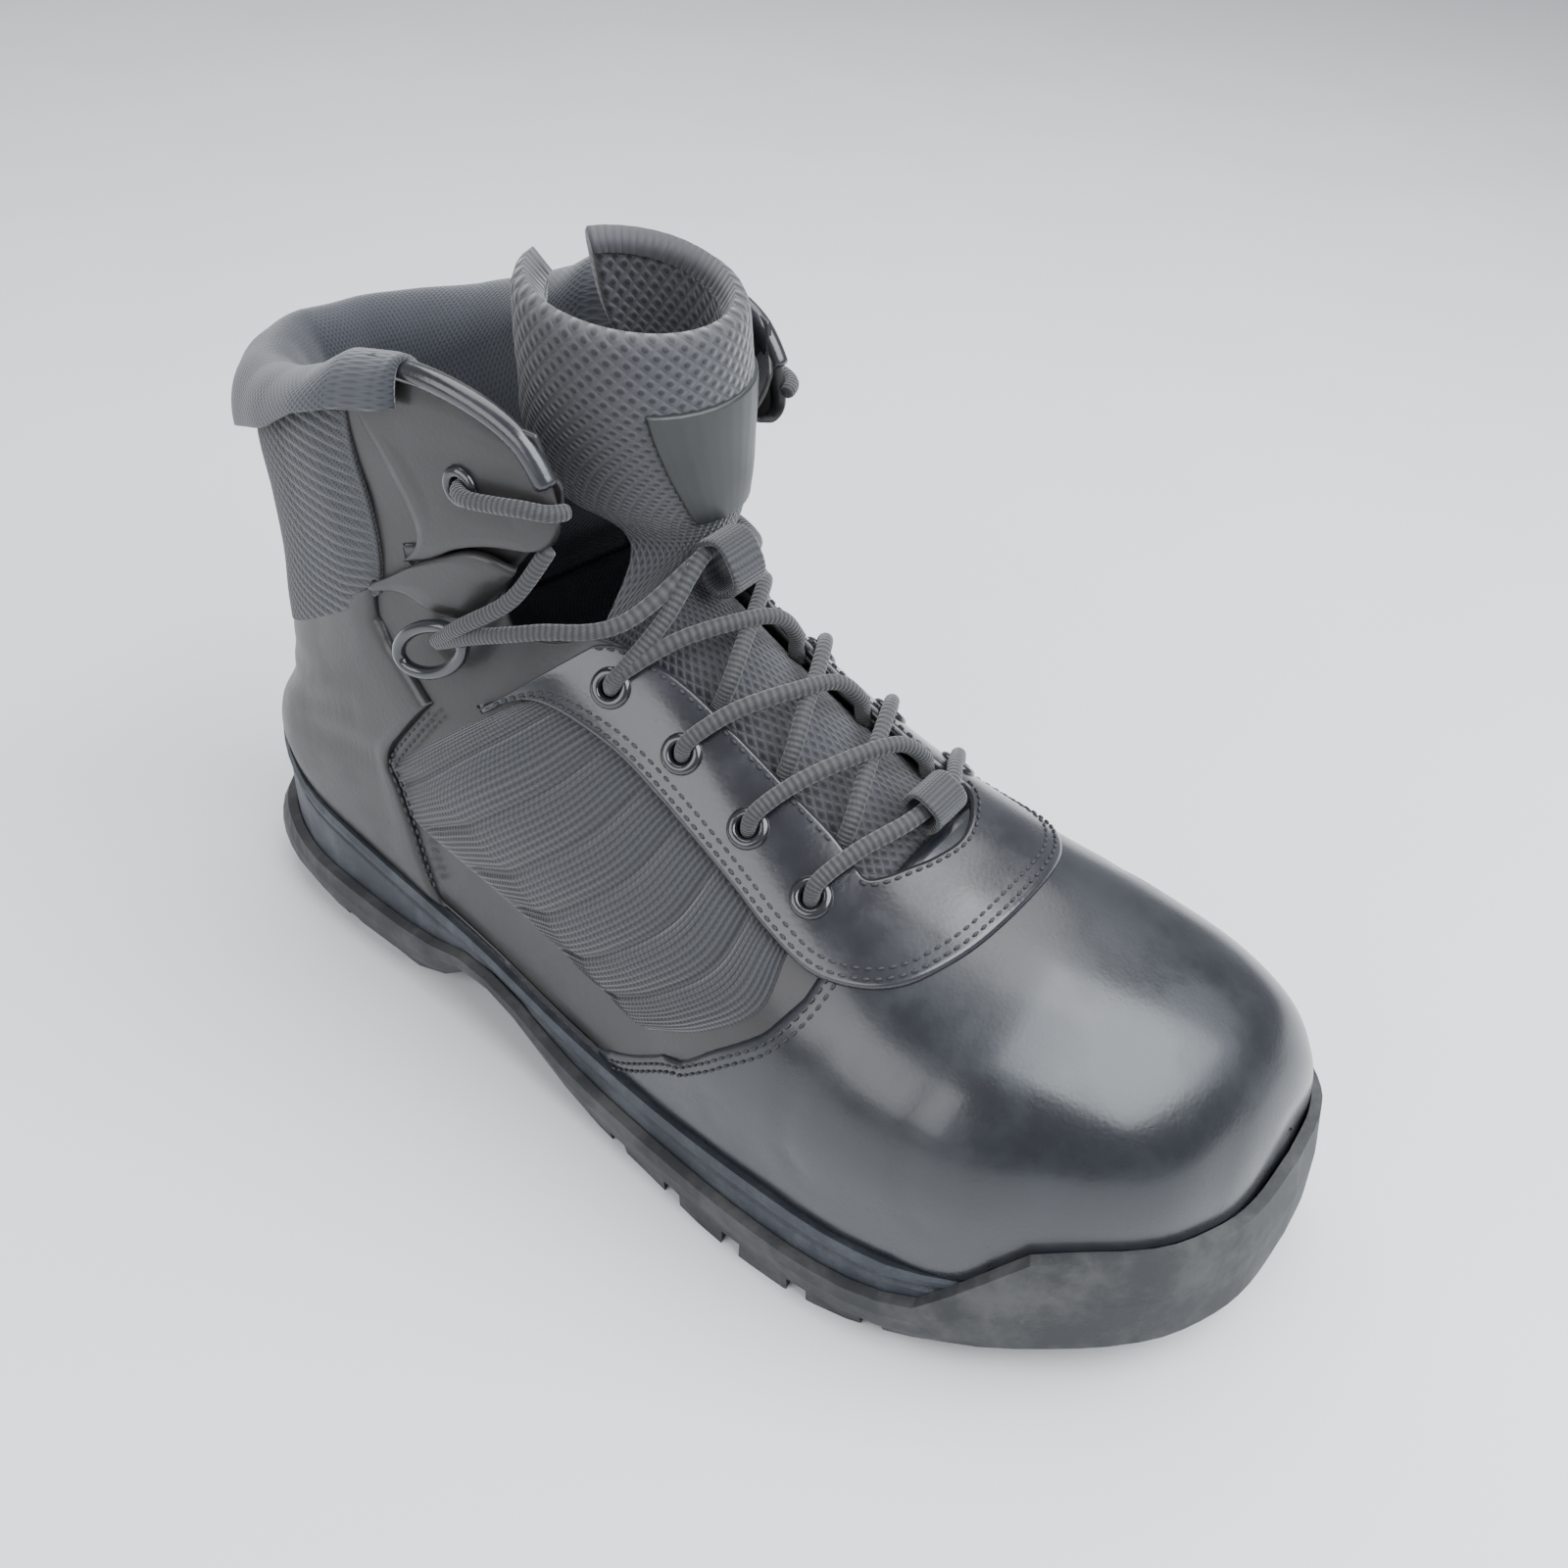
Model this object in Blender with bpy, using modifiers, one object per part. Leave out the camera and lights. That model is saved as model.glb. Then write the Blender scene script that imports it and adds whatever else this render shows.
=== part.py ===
"""Safety toe boot, for the right foot, in metres with +Z up.

The boot stands on its sole with the toe towards +X and its outer (lateral) side towards -Y. It is modelled
with the back of the heel near x = 0 and is moved at the end, so that the origin lies at the middle of the
bottom of its box. Tables hold shares of the named sizes, a row for each section.
"""

import math

import bmesh
import bpy
import numpy as np

# Driving sizes
LAST_LENGTH = 0.294
BALL_WIDTH = 0.103
SOLE_HEIGHT = 0.0245
SHAFT_RISE = 0.154
SWING = 0.014
LIFT = 0.0003

# Upper
WALL = 0.0024
COLLAR_PAD = 0.0085
FLAP_WALL = 0.0042

# Sole
BEAD_OUT = 0.0032
BEAD_HEIGHT = 0.0034
GROOVE_OUT = 0.0012
SIDE_OUT = 0.0024
RIM_OUT = 0.0008
RIM_IN = 0.0040
LIP_WALL = 0.0026
LIP_HEIGHT = 0.0022
TREAD_DEPTH = 0.0042
TREAD_GAP = 0.0052
INSOLE_THICK = 0.0035
SLOT_HEIGHT = 0.0014
SLOT_DEPTH = 0.0012

# Tongue
TONGUE_WALL = 0.0040
TONGUE_PAD = 0.0075
TONGUE_DROP = 0.0016
TUBE_DEPTH = 0.0265
TUBE_WIDTH = 0.0300

# Fittings
EYELET_RADIUS = 0.0052
EYELET_BORE = 0.0023
EYELET_RIM = 0.0011
BARREL_RADIUS = 0.0031
HOLE_CLEARANCE = 0.0004
LACE_RADIUS = 0.0018
LACE_OVER = 0.0032
HOOK_LENGTH = 0.0210
HOOK_WIDTH = 0.0095
HOOK_WIRE = 0.0013
STRAP_THICK = 0.0016
STRAP_LIFT = 0.0007
HOOK_LIFT = 0.0056
SLEEVE_LENGTH = 0.0150
SLEEVE_WALL = 0.0012

# Sections of the upper, from the toe to the collar. Each is a fan from a front point on the boot's centre
# line to a back or bottom point. Lengths are shares of LAST_LENGTH, rises of SHAFT_RISE above the feather
# line at the ball, sole heights of SOLE_HEIGHT, widths of BALL_WIDTH, and swing of SWING towards the
# inner side.
SECTION_COLUMNS = (
    "front", "front_rise", "back", "back_sole", "back_rise", "lateral", "medial",
    "belly", "foot_lateral", "foot_medial", "crown", "base", "swing",
)
SECTIONS = (
    (0.998, 0.133, 1.002, 1.35, 0.000, 0.000, 0.000, 0.60, 0.000, 0.000, 2.00, 2.00, 1.00),
    (0.993, 0.190, 0.999, 1.29, 0.000, 0.175, 0.155, 0.60, 0.155, 0.135, 2.20, 2.00, 0.96),
    (0.978, 0.244, 0.988, 1.22, 0.000, 0.272, 0.235, 0.62, 0.252, 0.216, 2.30, 2.00, 0.86),
    (0.951, 0.297, 0.963, 1.16, 0.000, 0.364, 0.311, 0.64, 0.345, 0.292, 2.35, 2.00, 0.68),
    (0.901, 0.348, 0.915, 1.10, 0.000, 0.447, 0.379, 0.66, 0.427, 0.355, 2.35, 2.00, 0.43),
    (0.833, 0.386, 0.847, 1.04, 0.000, 0.529, 0.422, 0.68, 0.510, 0.398, 2.30, 2.00, 0.21),
    (0.755, 0.419, 0.765, 1.00, 0.000, 0.558, 0.440, 0.70, 0.539, 0.416, 2.20, 2.00, 0.07),
    (0.694, 0.458, 0.673, 0.98, 0.000, 0.539, 0.437, 0.72, 0.524, 0.408, 2.05, 2.00, 0.00),
    (0.636, 0.510, 0.571, 0.92, 0.000, 0.510, 0.413, 0.72, 0.490, 0.379, 2.00, 2.00, 0.00),
    (0.578, 0.568, 0.463, 0.96, 0.000, 0.466, 0.393, 0.70, 0.447, 0.350, 1.95, 2.00, 0.00),
    (0.520, 0.633, 0.344, 1.15, 0.000, 0.427, 0.374, 0.66, 0.400, 0.330, 1.95, 2.00, 0.00),
    (0.469, 0.692, 0.214, 1.41, 0.000, 0.403, 0.364, 0.62, 0.375, 0.335, 2.00, 2.00, 0.00),
    (0.466, 0.724, 0.119, 1.61, 0.000, 0.383, 0.362, 0.61, 0.342, 0.316, 2.05, 2.10, 0.00),
    (0.464, 0.756, 0.055, 1.84, 0.000, 0.364, 0.352, 0.58, 0.255, 0.245, 2.10, 2.20, 0.00),
    (0.464, 0.789, 0.027, 2.08, 0.000, 0.352, 0.345, 0.55, 0.145, 0.145, 2.15, 2.20, 0.00),
    (0.464, 0.815, 0.020, 2.27, 0.010, 0.345, 0.345, 0.53, 0.000, 0.000, 2.20, 2.20, 0.00),
    (0.464, 0.841, 0.022, 2.27, 0.075, 0.342, 0.372, 0.52, 0.000, 0.000, 2.60, 2.20, 0.02),
    (0.464, 0.867, 0.026, 2.27, 0.165, 0.344, 0.398, 0.50, 0.000, 0.000, 3.40, 2.15, 0.05),
    (0.464, 0.893, 0.032, 2.27, 0.270, 0.350, 0.428, 0.50, 0.000, 0.000, 4.20, 2.10, 0.09),
    (0.464, 0.925, 0.026, 2.27, 0.385, 0.361, 0.446, 0.50, 0.000, 0.000, 4.60, 2.10, 0.14),
    (0.464, 0.964, 0.011, 2.27, 0.490, 0.374, 0.456, 0.50, 0.000, 0.000, 4.60, 2.10, 0.18),
    (0.462, 1.016, 0.010, 2.27, 0.585, 0.384, 0.462, 0.50, 0.000, 0.000, 4.60, 2.10, 0.20),
    (0.460, 1.088, 0.017, 2.27, 0.670, 0.388, 0.464, 0.50, 0.000, 0.000, 4.60, 2.10, 0.20),
)
HEEL_SECTION = 15.0
TOP_START = 16.0
TOP_SECTION = float(len(SECTIONS) - 1)

# Half width of the throat opening by section, as a share of the half girth.
THROAT = (
    (6.55, 0.000), (6.70, 0.055), (6.90, 0.092), (7.20, 0.122), (7.60, 0.122), (9.00, 0.122),
    (10.40, 0.140), (11.30, 0.185), (12.10, 0.245), (13.00, 0.295), (14.50, 0.315), (16.00, 0.305),
    (16.90, 0.285), (17.40, 0.262), (18.00, 0.256), (20.20, 0.262), (20.80, 0.285), (22.00, 0.300),
)
# Top edge by share of the half girth, front to back, as a section number.
TOPLINE = (
    (0.26, 20.40), (0.30, 20.90), (0.36, 21.25), (0.41, 21.55), (0.47, 21.85), (0.51, 21.80),
    (0.55, 21.50), (0.62, 21.30), (0.70, 21.25), (0.85, 21.45), (1.00, 21.60),
)
# Wall of the upper by share of the half girth and section: pad of the collar and of the flaps.
PAD_ALONG = ((15.5, 0.0), (18.0, 1.0), (20.6, 1.0), (22.0, 0.55))
PAD_ROUND = ((0.20, 0.0), (0.46, 0.0), (0.56, 1.0), (1.00, 1.0))

# Sole by place along the last: heights as shares of SOLE_HEIGHT, flares in shares of BALL_WIDTH.
SOLE_COLUMNS = ("along", "bottom", "split", "edge", "flare_bottom", "flare_middle")
SOLE = (
    (0.020, 0.30, 0.74, 0.84, 0.022, 0.078),
    (0.050, 0.20, 0.74, 0.84, 0.020, 0.074),
    (0.085, 0.06, 0.72, 0.82, 0.016, 0.060),
    (0.120, 0.00, 0.70, 0.80, 0.012, 0.044),
    (0.200, 0.00, 0.66, 0.76, 0.004, 0.034),
    (0.275, 0.00, 0.66, 0.76, 0.006, 0.030),
    (0.300, 0.34, 0.74, 0.82, 0.014, 0.030),
    (0.330, 0.62, 0.84, 0.92, 0.020, 0.030),
    (0.360, 0.70, 0.86, 0.94, 0.022, 0.030),
    (0.410, 0.52, 0.76, 0.84, 0.022, 0.030),
    (0.450, 0.24, 0.60, 0.68, 0.022, 0.032),
    (0.485, 0.00, 0.50, 0.58, 0.024, 0.034),
    (0.560, 0.00, 0.46, 0.54, 0.034, 0.038),
    (0.650, 0.00, 0.46, 0.54, 0.050, 0.044),
    (0.720, 0.00, 0.48, 0.56, 0.044, 0.042),
    (0.775, 0.00, 0.52, 0.60, 0.026, 0.040),
    (0.830, 0.06, 0.56, 0.72, 0.006, 0.040),
    (0.860, 0.12, 0.60, 1.20, 0.000, 0.042),
    (0.885, 0.17, 0.64, 1.60, -0.006, 0.044),
    (0.920, 0.24, 0.68, 1.68, -0.012, 0.046),
    (0.960, 0.32, 0.72, 1.66, -0.014, 0.048),
    (1.002, 0.40, 0.76, 1.62, -0.012, 0.052),
)
BUMPER = ((0.80, 0.0), (0.87, 1.0))
FOOTBED = ((0.02, 1.12), (0.30, 1.06), (0.45, 0.90), (0.55, 0.80), (0.75, 0.86), (0.90, 0.98), (1.00, 1.08))

# Grooves of the tread, by place along the last.
HEEL_GROOVES = (0.105, 0.175, 0.240)
FORE_GROOVES = (0.540, 0.605, 0.670, 0.735, 0.800, 0.865)
MIDDLE_GROOVE_SHIFT = -0.04

# Eyelets: section and share of the half girth, toe first.
EYELETS = ((7.48, 0.193), (8.49, 0.193), (9.54, 0.198), (10.54, 0.213))
FLAP_EYELET = (19.45, 0.430)
KEEPER = (10.885, 0.020)
HOOK_ENDS = ((13.70, 0.430), (14.10, 0.345))
STRAP_CORNERS = ((14.60, 0.455), (15.10, 0.350), (16.50, 0.350), (16.90, 0.500))

# The tongue's tube, by height: shares of SHAFT_RISE, TUBE_DEPTH and TUBE_WIDTH, and the wrap in degrees.
TUBE_COLUMNS = ("rise", "front", "depth", "width", "wrap", "crown", "pad")
TUBE = (
    (0.735, 0.466, 0.96, 0.63, 62.0, 0.00, 0.50),
    (0.800, 0.470, 1.00, 0.76, 95.0, 0.00, 0.75),
    (0.870, 0.469, 1.00, 0.83, 125.0, 0.00, 1.00),
    (0.950, 0.467, 0.98, 0.88, 148.0, 0.02, 1.00),
    (1.060, 0.461, 0.95, 0.88, 158.0, 0.05, 0.90),
)
TONGUE_SECTIONS = ((6.75, 0.250), (7.60, 0.275), (8.60, 0.285), (9.60, 0.285), (10.50, 0.255), (11.20, 0.200))
TUBE_SWING = 0.0096

# Colours
BLACK_LEATHER = (0.012, 0.013, 0.016)
BLACK_RUBBER = (0.030, 0.031, 0.033)
BLACK_FABRIC = (0.014, 0.015, 0.019)
BLACK_ENAMEL = (0.020, 0.020, 0.022)


def spline(table, u):
    """Rows of a table at section number u, on a smooth curve through them."""
    table = np.asarray(table, float)
    last_row = len(table) - 1
    u = np.clip(np.asarray(u, float), 0.0, last_row - 1e-9)
    index = np.floor(u).astype(int)
    f = (u - index)[..., None]

    def row(k):
        return table[np.clip(k, 0, last_row)]

    before, start, end, after = row(index - 1), row(index), row(index + 1), row(index + 2)
    before = np.where((index == 0)[..., None], 2 * start - end, before)
    after = np.where((index >= last_row - 1)[..., None], 2 * end - start, after)
    bend = 2 * before - 5 * start + 4 * end - after
    twist = 3 * (start - end) + after - before
    return start + 0.5 * f * (end - before + f * (bend + f * twist))


def along(table, x, column=1):
    """A column of a table at x, in straight runs between its rows."""
    table = np.asarray(table, float)
    return np.interp(x, table[:, 0], table[:, column])


def section_sizes(u):
    """A section's sizes in metres, by name."""
    row = spline(SECTIONS, u)
    sizes = {name: row[..., i] for i, name in enumerate(SECTION_COLUMNS)}
    for name in ("front", "back"):
        sizes[name] = sizes[name] * LAST_LENGTH
    sizes["front_z"] = SOLE_HEIGHT + sizes["front_rise"] * SHAFT_RISE
    sizes["back_z"] = sizes["back_sole"] * SOLE_HEIGHT + sizes["back_rise"] * SHAFT_RISE
    for name in ("lateral", "medial", "foot_lateral", "foot_medial"):
        sizes[name] = np.maximum(sizes[name], 0.0) * BALL_WIDTH
    sizes["swing"] = sizes["swing"] * SWING
    return sizes


def last_surface(u, t):
    """Outer surface of the upper at section u. t is -1 at the outer side's bottom or back edge, 0 at the
    top or front centre and 1 at the inner side's edge."""
    u, t = np.broadcast_arrays(np.asarray(u, float), np.asarray(t, float))
    s = section_sizes(u)
    outer = t < 0
    wide = np.where(outer, s["lateral"], s["medial"])
    foot = np.where(outer, s["foot_lateral"], s["foot_medial"])
    share = np.abs(t)
    high = np.clip(2 * share, 0, 1) * math.pi / 2
    low = np.clip(2 * share - 1, 0, 1) * math.pi / 2
    crown, base, belly = 2 / s["crown"], 2 / s["base"], s["belly"]
    upper_depth = belly * (1 - np.maximum(np.cos(high), 0) ** crown)
    upper_width = wide * np.maximum(np.sin(high), 0) ** crown
    lower_depth = belly + (1 - belly) * np.maximum(np.sin(low), 0) ** base
    lower_width = foot + (wide - foot) * np.maximum(np.cos(low), 0) ** base
    depth = np.where(share <= 0.5, upper_depth, lower_depth)
    width = np.where(share <= 0.5, upper_width, lower_width)
    x = s["front"] + (s["back"] - s["front"]) * depth
    z = s["front_z"] + (s["back_z"] - s["front_z"]) * depth
    y = np.where(outer, -width, width) + s["swing"]
    return np.stack([x, y, z], -1)


def last_normal(u, t):
    """Outward direction of that surface."""
    step_u, step_t = 0.02, 0.004
    t = np.clip(t, -0.996, 0.996)
    across = last_surface(u, t + step_t) - last_surface(u, t - step_t)
    forward = last_surface(np.clip(u - step_u, 0, TOP_SECTION), t) - last_surface(u + step_u, t)
    normal = np.cross(forward, across)
    return normal / np.maximum(np.linalg.norm(normal, axis=-1, keepdims=True), 1e-12)


def off_surface(u, t, out):
    """A point that lies out from the upper's outer surface, or inside it where out is negative."""
    return last_surface(u, t) + last_normal(u, t) * np.asarray(out, float)[..., None]


def wall_at_height(u, side, z):
    """The outer surface's point in section u at height z, below the widest line."""
    s = section_sizes(u)
    depth = (z - s["front_z"]) / (s["back_z"] - s["front_z"])
    share = np.clip((depth - s["belly"]) / (1 - s["belly"]), 0, 1)
    angle = np.arcsin(share ** (s["base"] / 2))
    return last_surface(u, side * (0.5 + angle / math.pi))


def material(name, colour, roughness, metallic=0.0):
    made = bpy.data.materials.new(name)
    made.use_nodes = True
    shader = made.node_tree.nodes["Principled BSDF"]
    shader.inputs["Base Color"].default_value = (*colour, 1.0)
    shader.inputs["Roughness"].default_value = roughness
    shader.inputs["Metallic"].default_value = metallic
    return made


def face_out(bm):
    """Turns a closed mesh's faces outwards."""
    bmesh.ops.recalc_face_normals(bm, faces=bm.faces)
    if bm.calc_volume(signed=True) < 0:
        bmesh.ops.reverse_faces(bm, faces=bm.faces)
    return bm


def add_object(name, bm, collection, finish=None, merge=1e-6):
    """Makes an object from a bmesh, with its doubles merged."""
    bmesh.ops.remove_doubles(bm, verts=bm.verts, dist=merge)
    mesh = bpy.data.meshes.new(name)
    bm.to_mesh(mesh)
    bm.free()
    mesh.shade_smooth()
    made = bpy.data.objects.new(name, mesh)
    collection.objects.link(made)
    if finish is not None:
        made.data.materials.append(finish)
    return made


def apply_modifiers(target):
    """Replaces an object's mesh with the one its modifiers make."""
    bpy.context.view_layer.update()
    graph = bpy.context.evaluated_depsgraph_get()
    mesh = bpy.data.meshes.new_from_object(target.evaluated_get(graph))
    target.modifiers.clear()
    target.data = mesh


def boolean(target, cutter, operation):
    step = target.modifiers.new(operation.title(), "BOOLEAN")
    step.operation = operation
    step.solver = "EXACT"
    step.object = cutter
    apply_modifiers(target)


def loft(bm, rows, closed_rows=False, closed=False, weights=None):
    """Faces between rows of points, as a skin over ribs. The rows run so that the faces look outwards."""
    made = []
    layer = bm.verts.layers.deform.verify() if weights is not None else None
    for r, row in enumerate(rows):
        verts = [bm.verts.new(point) for point in row]
        if layer is not None:
            for vert, weight in zip(verts, weights[r]):
                vert[layer][0] = float(weight)
        made.append(verts)
    pairs = list(zip(made, made[1:]))
    if closed:
        pairs.append((made[-1], made[0]))
    for first, second in pairs:
        count = len(first)
        for k in range(count if closed_rows else count - 1):
            corners = (first[k], first[(k + 1) % count], second[(k + 1) % count], second[k])
            bm.faces.new(corners)
    return made


def upper_rows():
    """Rows of (section, share) pairs for the two halves of the upper, toe to top edge."""
    toe = np.linspace(0.0, 2.0, 7)
    vamp = np.linspace(2.5, 6.5, 9)
    apron = (6.55, 6.62, 6.70, 6.80, 6.90, 7.05, 7.20, 7.40, 7.60)
    quarter = np.linspace(8.0, TOP_START, 19)
    rows = [(u, None) for u in (*toe, *vamp, *apron, *quarter)]
    rows += [(TOP_START, r) for r in np.linspace(0, 1, 10)[1:]]
    return rows


COLUMNS = 13


def upper_shares(u, rise):
    """The shares and section numbers of one half of a row."""
    place = u if rise is None else u + (TOP_SECTION - u) * rise
    opening = along(THROAT, place)
    shares = opening + (1 - opening) * np.linspace(0, 1, COLUMNS)
    if rise is None:
        return shares, np.full(COLUMNS, u)
    return shares, u + (along(TOPLINE, shares) - u) * rise


def wall_share(sections, shares):
    """Thickness of the wall there, as a share of the collar's pad."""
    pad = along(PAD_ALONG, sections) * along(PAD_ROUND, shares)
    flap = along(((15.5, 0.0), (18.0, 1.0)), sections) * along(((0.40, 1.0), (0.50, 0.0)), shares)
    thick = WALL + (COLLAR_PAD - WALL) * pad + (FLAP_WALL - WALL) * flap
    return thick / COLLAR_PAD


def make_upper(collection, finish):
    """One hollow shell: an open skin over the last's sections, given its wall on the inside."""
    bm = bmesh.new()
    rows = {-1: [], 1: []}
    walls = []
    for u, rise in upper_rows():
        shares, sections = upper_shares(u, rise)
        walls.append(wall_share(sections, shares))
        for side in rows:
            rows[side].append(last_surface(sections, side * shares))
    loft(bm, rows[1], weights=walls)
    loft(bm, [row[::-1] for row in rows[-1]], weights=[row[::-1] for row in walls])
    made = add_object("upper", bm, collection, finish, merge=2e-5)
    made.vertex_groups.new(name="wall")
    shell = made.modifiers.new("Wall", "SOLIDIFY")
    shell.thickness = COLLAR_PAD
    shell.offset = -1.0
    shell.vertex_group = "wall"
    shell.thickness_vertex_group = 0.05
    apply_modifiers(made)
    return made


STATIONS = np.concatenate([
    np.linspace(0, 1.0, 6), np.linspace(1.3, 3.1, 7), np.linspace(3.5, 11.0, 26), np.linspace(11.35, 14.9, 15),
])


def perimeter():
    """The feather line's stations round the boot: section, side, point and outward direction in plan."""
    inner = [(u, 1) for u in STATIONS]
    outer = [(u, -1) for u in STATIONS[1:-1][::-1]]
    heel = [(HEEL_SECTION, 1)]
    around = inner + heel + [(STATIONS[-1], -1)] + outer
    u = np.array([place[0] for place in around])
    side = np.array([place[1] for place in around], float)
    points = last_surface(u, side)
    before, after = np.roll(points, 1, axis=0), np.roll(points, -1, axis=0)
    run = (after - before)[:, :2]
    run /= np.linalg.norm(run, axis=1, keepdims=True)
    out = np.stack([run[:, 1], -run[:, 0], np.zeros(len(run))], -1)
    middle = points.mean(axis=0)
    if (out[0] * (points[0] - middle)).sum() < 0:
        out = -out
    return u, side, points, out


def ring(base, out, offset, z):
    made = base + out * np.asarray(offset, float)[..., None] * np.ones((len(base), 1))
    made[:, 2] = z
    return made


def cap(bm, verts, columns=4, flip=False):
    """Closes a ring of the sole with strips between stations that face each other."""
    count = len(verts)
    half = count // 2
    toe, heel = verts[0], verts[half]
    ribs = []
    for k in range(1, half):
        near, far = verts[k], verts[count - k]
        inside = [bm.verts.new(near.co.lerp(far.co, c / columns)) for c in range(1, columns)]
        ribs.append([near, *inside, far])
    for first, second in zip(ribs, ribs[1:]):
        for k in range(columns):
            corners = [first[k], first[k + 1], second[k + 1], second[k]]
            bm.faces.new(corners[::-1] if flip else corners)
    for rib, end, turn in ((ribs[0], toe, False), (ribs[-1], heel, True)):
        for k in range(columns):
            corners = [rib[k + 1], rib[k], end]
            bm.faces.new(corners[::-1] if turn != flip else corners)


def ring_solid(name, rings, collection, finish):
    """A closed solid from rings that run from its top's inside over the rim and down to its bottom."""
    bm = bmesh.new()
    made = loft(bm, rings, closed_rows=True)
    cap(bm, made[0])
    cap(bm, made[-1], flip=True)
    bmesh.ops.recalc_face_normals(bm, faces=bm.faces)
    return add_object(name, bm, collection, finish)


def sole_sizes(points):
    x = points[:, 0] / LAST_LENGTH
    sizes = {name: along(SOLE, x, i) for i, name in enumerate(SOLE_COLUMNS) if i}
    for name in ("bottom", "split", "edge"):
        sizes[name] = sizes[name] * SOLE_HEIGHT
    for name in ("flare_bottom", "flare_middle"):
        sizes[name] = sizes[name] * BALL_WIDTH
    sizes["tuck"] = 1 - along(BUMPER, x)
    sizes["footbed"] = along(FOOTBED, x) * SOLE_HEIGHT
    return sizes


def make_midsole(collection, finish):
    """The sole's body: recess, rim, bead, groove and side wall, ring by ring."""
    _, _, points, out = perimeter()
    s = sole_sizes(points)
    top = points[:, 2] - LIFT
    tuck = s["tuck"]
    floor = np.minimum(s["footbed"], top - 0.0015)
    side = SIDE_OUT * tuck
    foot = s["split"] + LIFT
    low = np.minimum(top - 1.9 * BEAD_HEIGHT, foot + LIP_HEIGHT + 0.5 * (top - foot))
    low = np.maximum(low, foot + 0.0006)
    rings = [
        ring(points, out, -RIM_IN - 0.0016, floor),
        ring(points, out, -RIM_IN, floor + 0.6 * (top - floor)),
        ring(points, out, -RIM_IN + 0.0004, top),
        ring(points, out, RIM_OUT * tuck, top),
        ring(points, out, 0.75 * BEAD_OUT * tuck, top + 0.0004 * tuck),
        ring(points, out, BEAD_OUT * tuck, top - 0.3 * BEAD_HEIGHT),
        ring(points, out, 0.9 * BEAD_OUT * tuck, top - 0.8 * BEAD_HEIGHT),
        ring(points, out, GROOVE_OUT * tuck, top - BEAD_HEIGHT),
        ring(points, out, GROOVE_OUT * tuck, top - 1.3 * BEAD_HEIGHT),
        ring(points, out, side, top - 1.6 * BEAD_HEIGHT),
        ring(points, out, side, foot),
    ]
    return ring_solid("midsole", rings, collection, finish)


def bumper_offset(u, side, points, out, z):
    """How far the upper's surface stands out from the feather line at height z."""
    there = wall_at_height(u, side, np.maximum(z, points[:, 2]))
    return np.maximum(((there - points) * out).sum(axis=1), 0.0)


def make_outsole(collection, cutters, finish):
    """The tread's body: lip or toe bumper outside, lugs below, cut by the tread's grooves."""
    u, side, points, out = perimeter()
    s = sole_sizes(points)
    reach = SIDE_OUT * s["tuck"] + LIFT
    over = bumper_offset(u, side, points, out, s["edge"]) + 2 * LIFT
    bumper = 1 - s["tuck"]
    edge_in = reach * (1 - bumper) + np.maximum(over, reach) * bumper
    mid_z = s["split"] + 0.5 * (np.minimum(s["edge"], points[:, 2]) - s["split"])
    edge_out = edge_in + LIP_WALL
    middle = np.maximum(s["flare_middle"], edge_in + 0.8 * LIP_WALL)
    half = 0.5 * (s["bottom"] + s["split"])
    rings = [
        ring(points, out, reach, s["split"]),
        ring(points, out, reach, mid_z),
        ring(points, out, edge_in, s["edge"]),
        ring(points, out, edge_out, s["edge"] - 0.0003),
        ring(points, out, 0.5 * (edge_out + middle) + 0.0006, 0.5 * (s["edge"] + half)),
        ring(points, out, middle, half),
        ring(points, out, s["flare_bottom"], s["bottom"]),
    ]
    made = ring_solid("outsole", rings, collection, finish)
    cut_tread(made, collection, cutters)
    return made


def box_cutter(name, size, place, turn, cutters):
    bm = bmesh.new()
    bmesh.ops.create_cube(bm, size=1.0)
    bmesh.ops.scale(bm, vec=size, verts=bm.verts)
    made = add_object(name, bm, cutters)
    made.location = place
    made.rotation_euler = (0.0, 0.0, turn)
    made.hide_render = True
    made.display_type = "WIRE"
    return made


def cut_tread(outsole, collection, cutters):
    """Slanted grooves on both halves of the tread, meeting near the middle."""
    reach = 0.62 * BALL_WIDTH
    height = 2 * TREAD_DEPTH
    slant = math.radians(11)
    shift = 0.5 * reach * math.sin(slant)
    for i, share in enumerate((*HEEL_GROOVES, *FORE_GROOVES)):
        for side in (-1, 1):
            size = (TREAD_GAP, reach, height)
            floor = along(SOLE, share, 1) * SOLE_HEIGHT
            place = (share * LAST_LENGTH - shift, side * 0.5 * reach, floor)
            cutter = box_cutter(f"groove_{i}_{side}", size, place, side * -slant, cutters)
            boolean(outsole, cutter, "DIFFERENCE")


def make_insole(collection, finish):
    """A foam footbed in the midsole's recess."""
    _, _, points, out = perimeter()
    s = sole_sizes(points)
    floor = np.minimum(s["footbed"], points[:, 2] - LIFT - 0.0015) + LIFT
    inset = -RIM_IN - 0.0016 - 0.0010
    rings = [
        ring(points, out, inset - 0.0008, floor + INSOLE_THICK),
        ring(points, out, inset, floor + INSOLE_THICK - 0.0008),
        ring(points, out, inset, floor),
    ]
    return ring_solid("insole", rings, collection, finish)


TONGUE_HALF = 12


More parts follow.
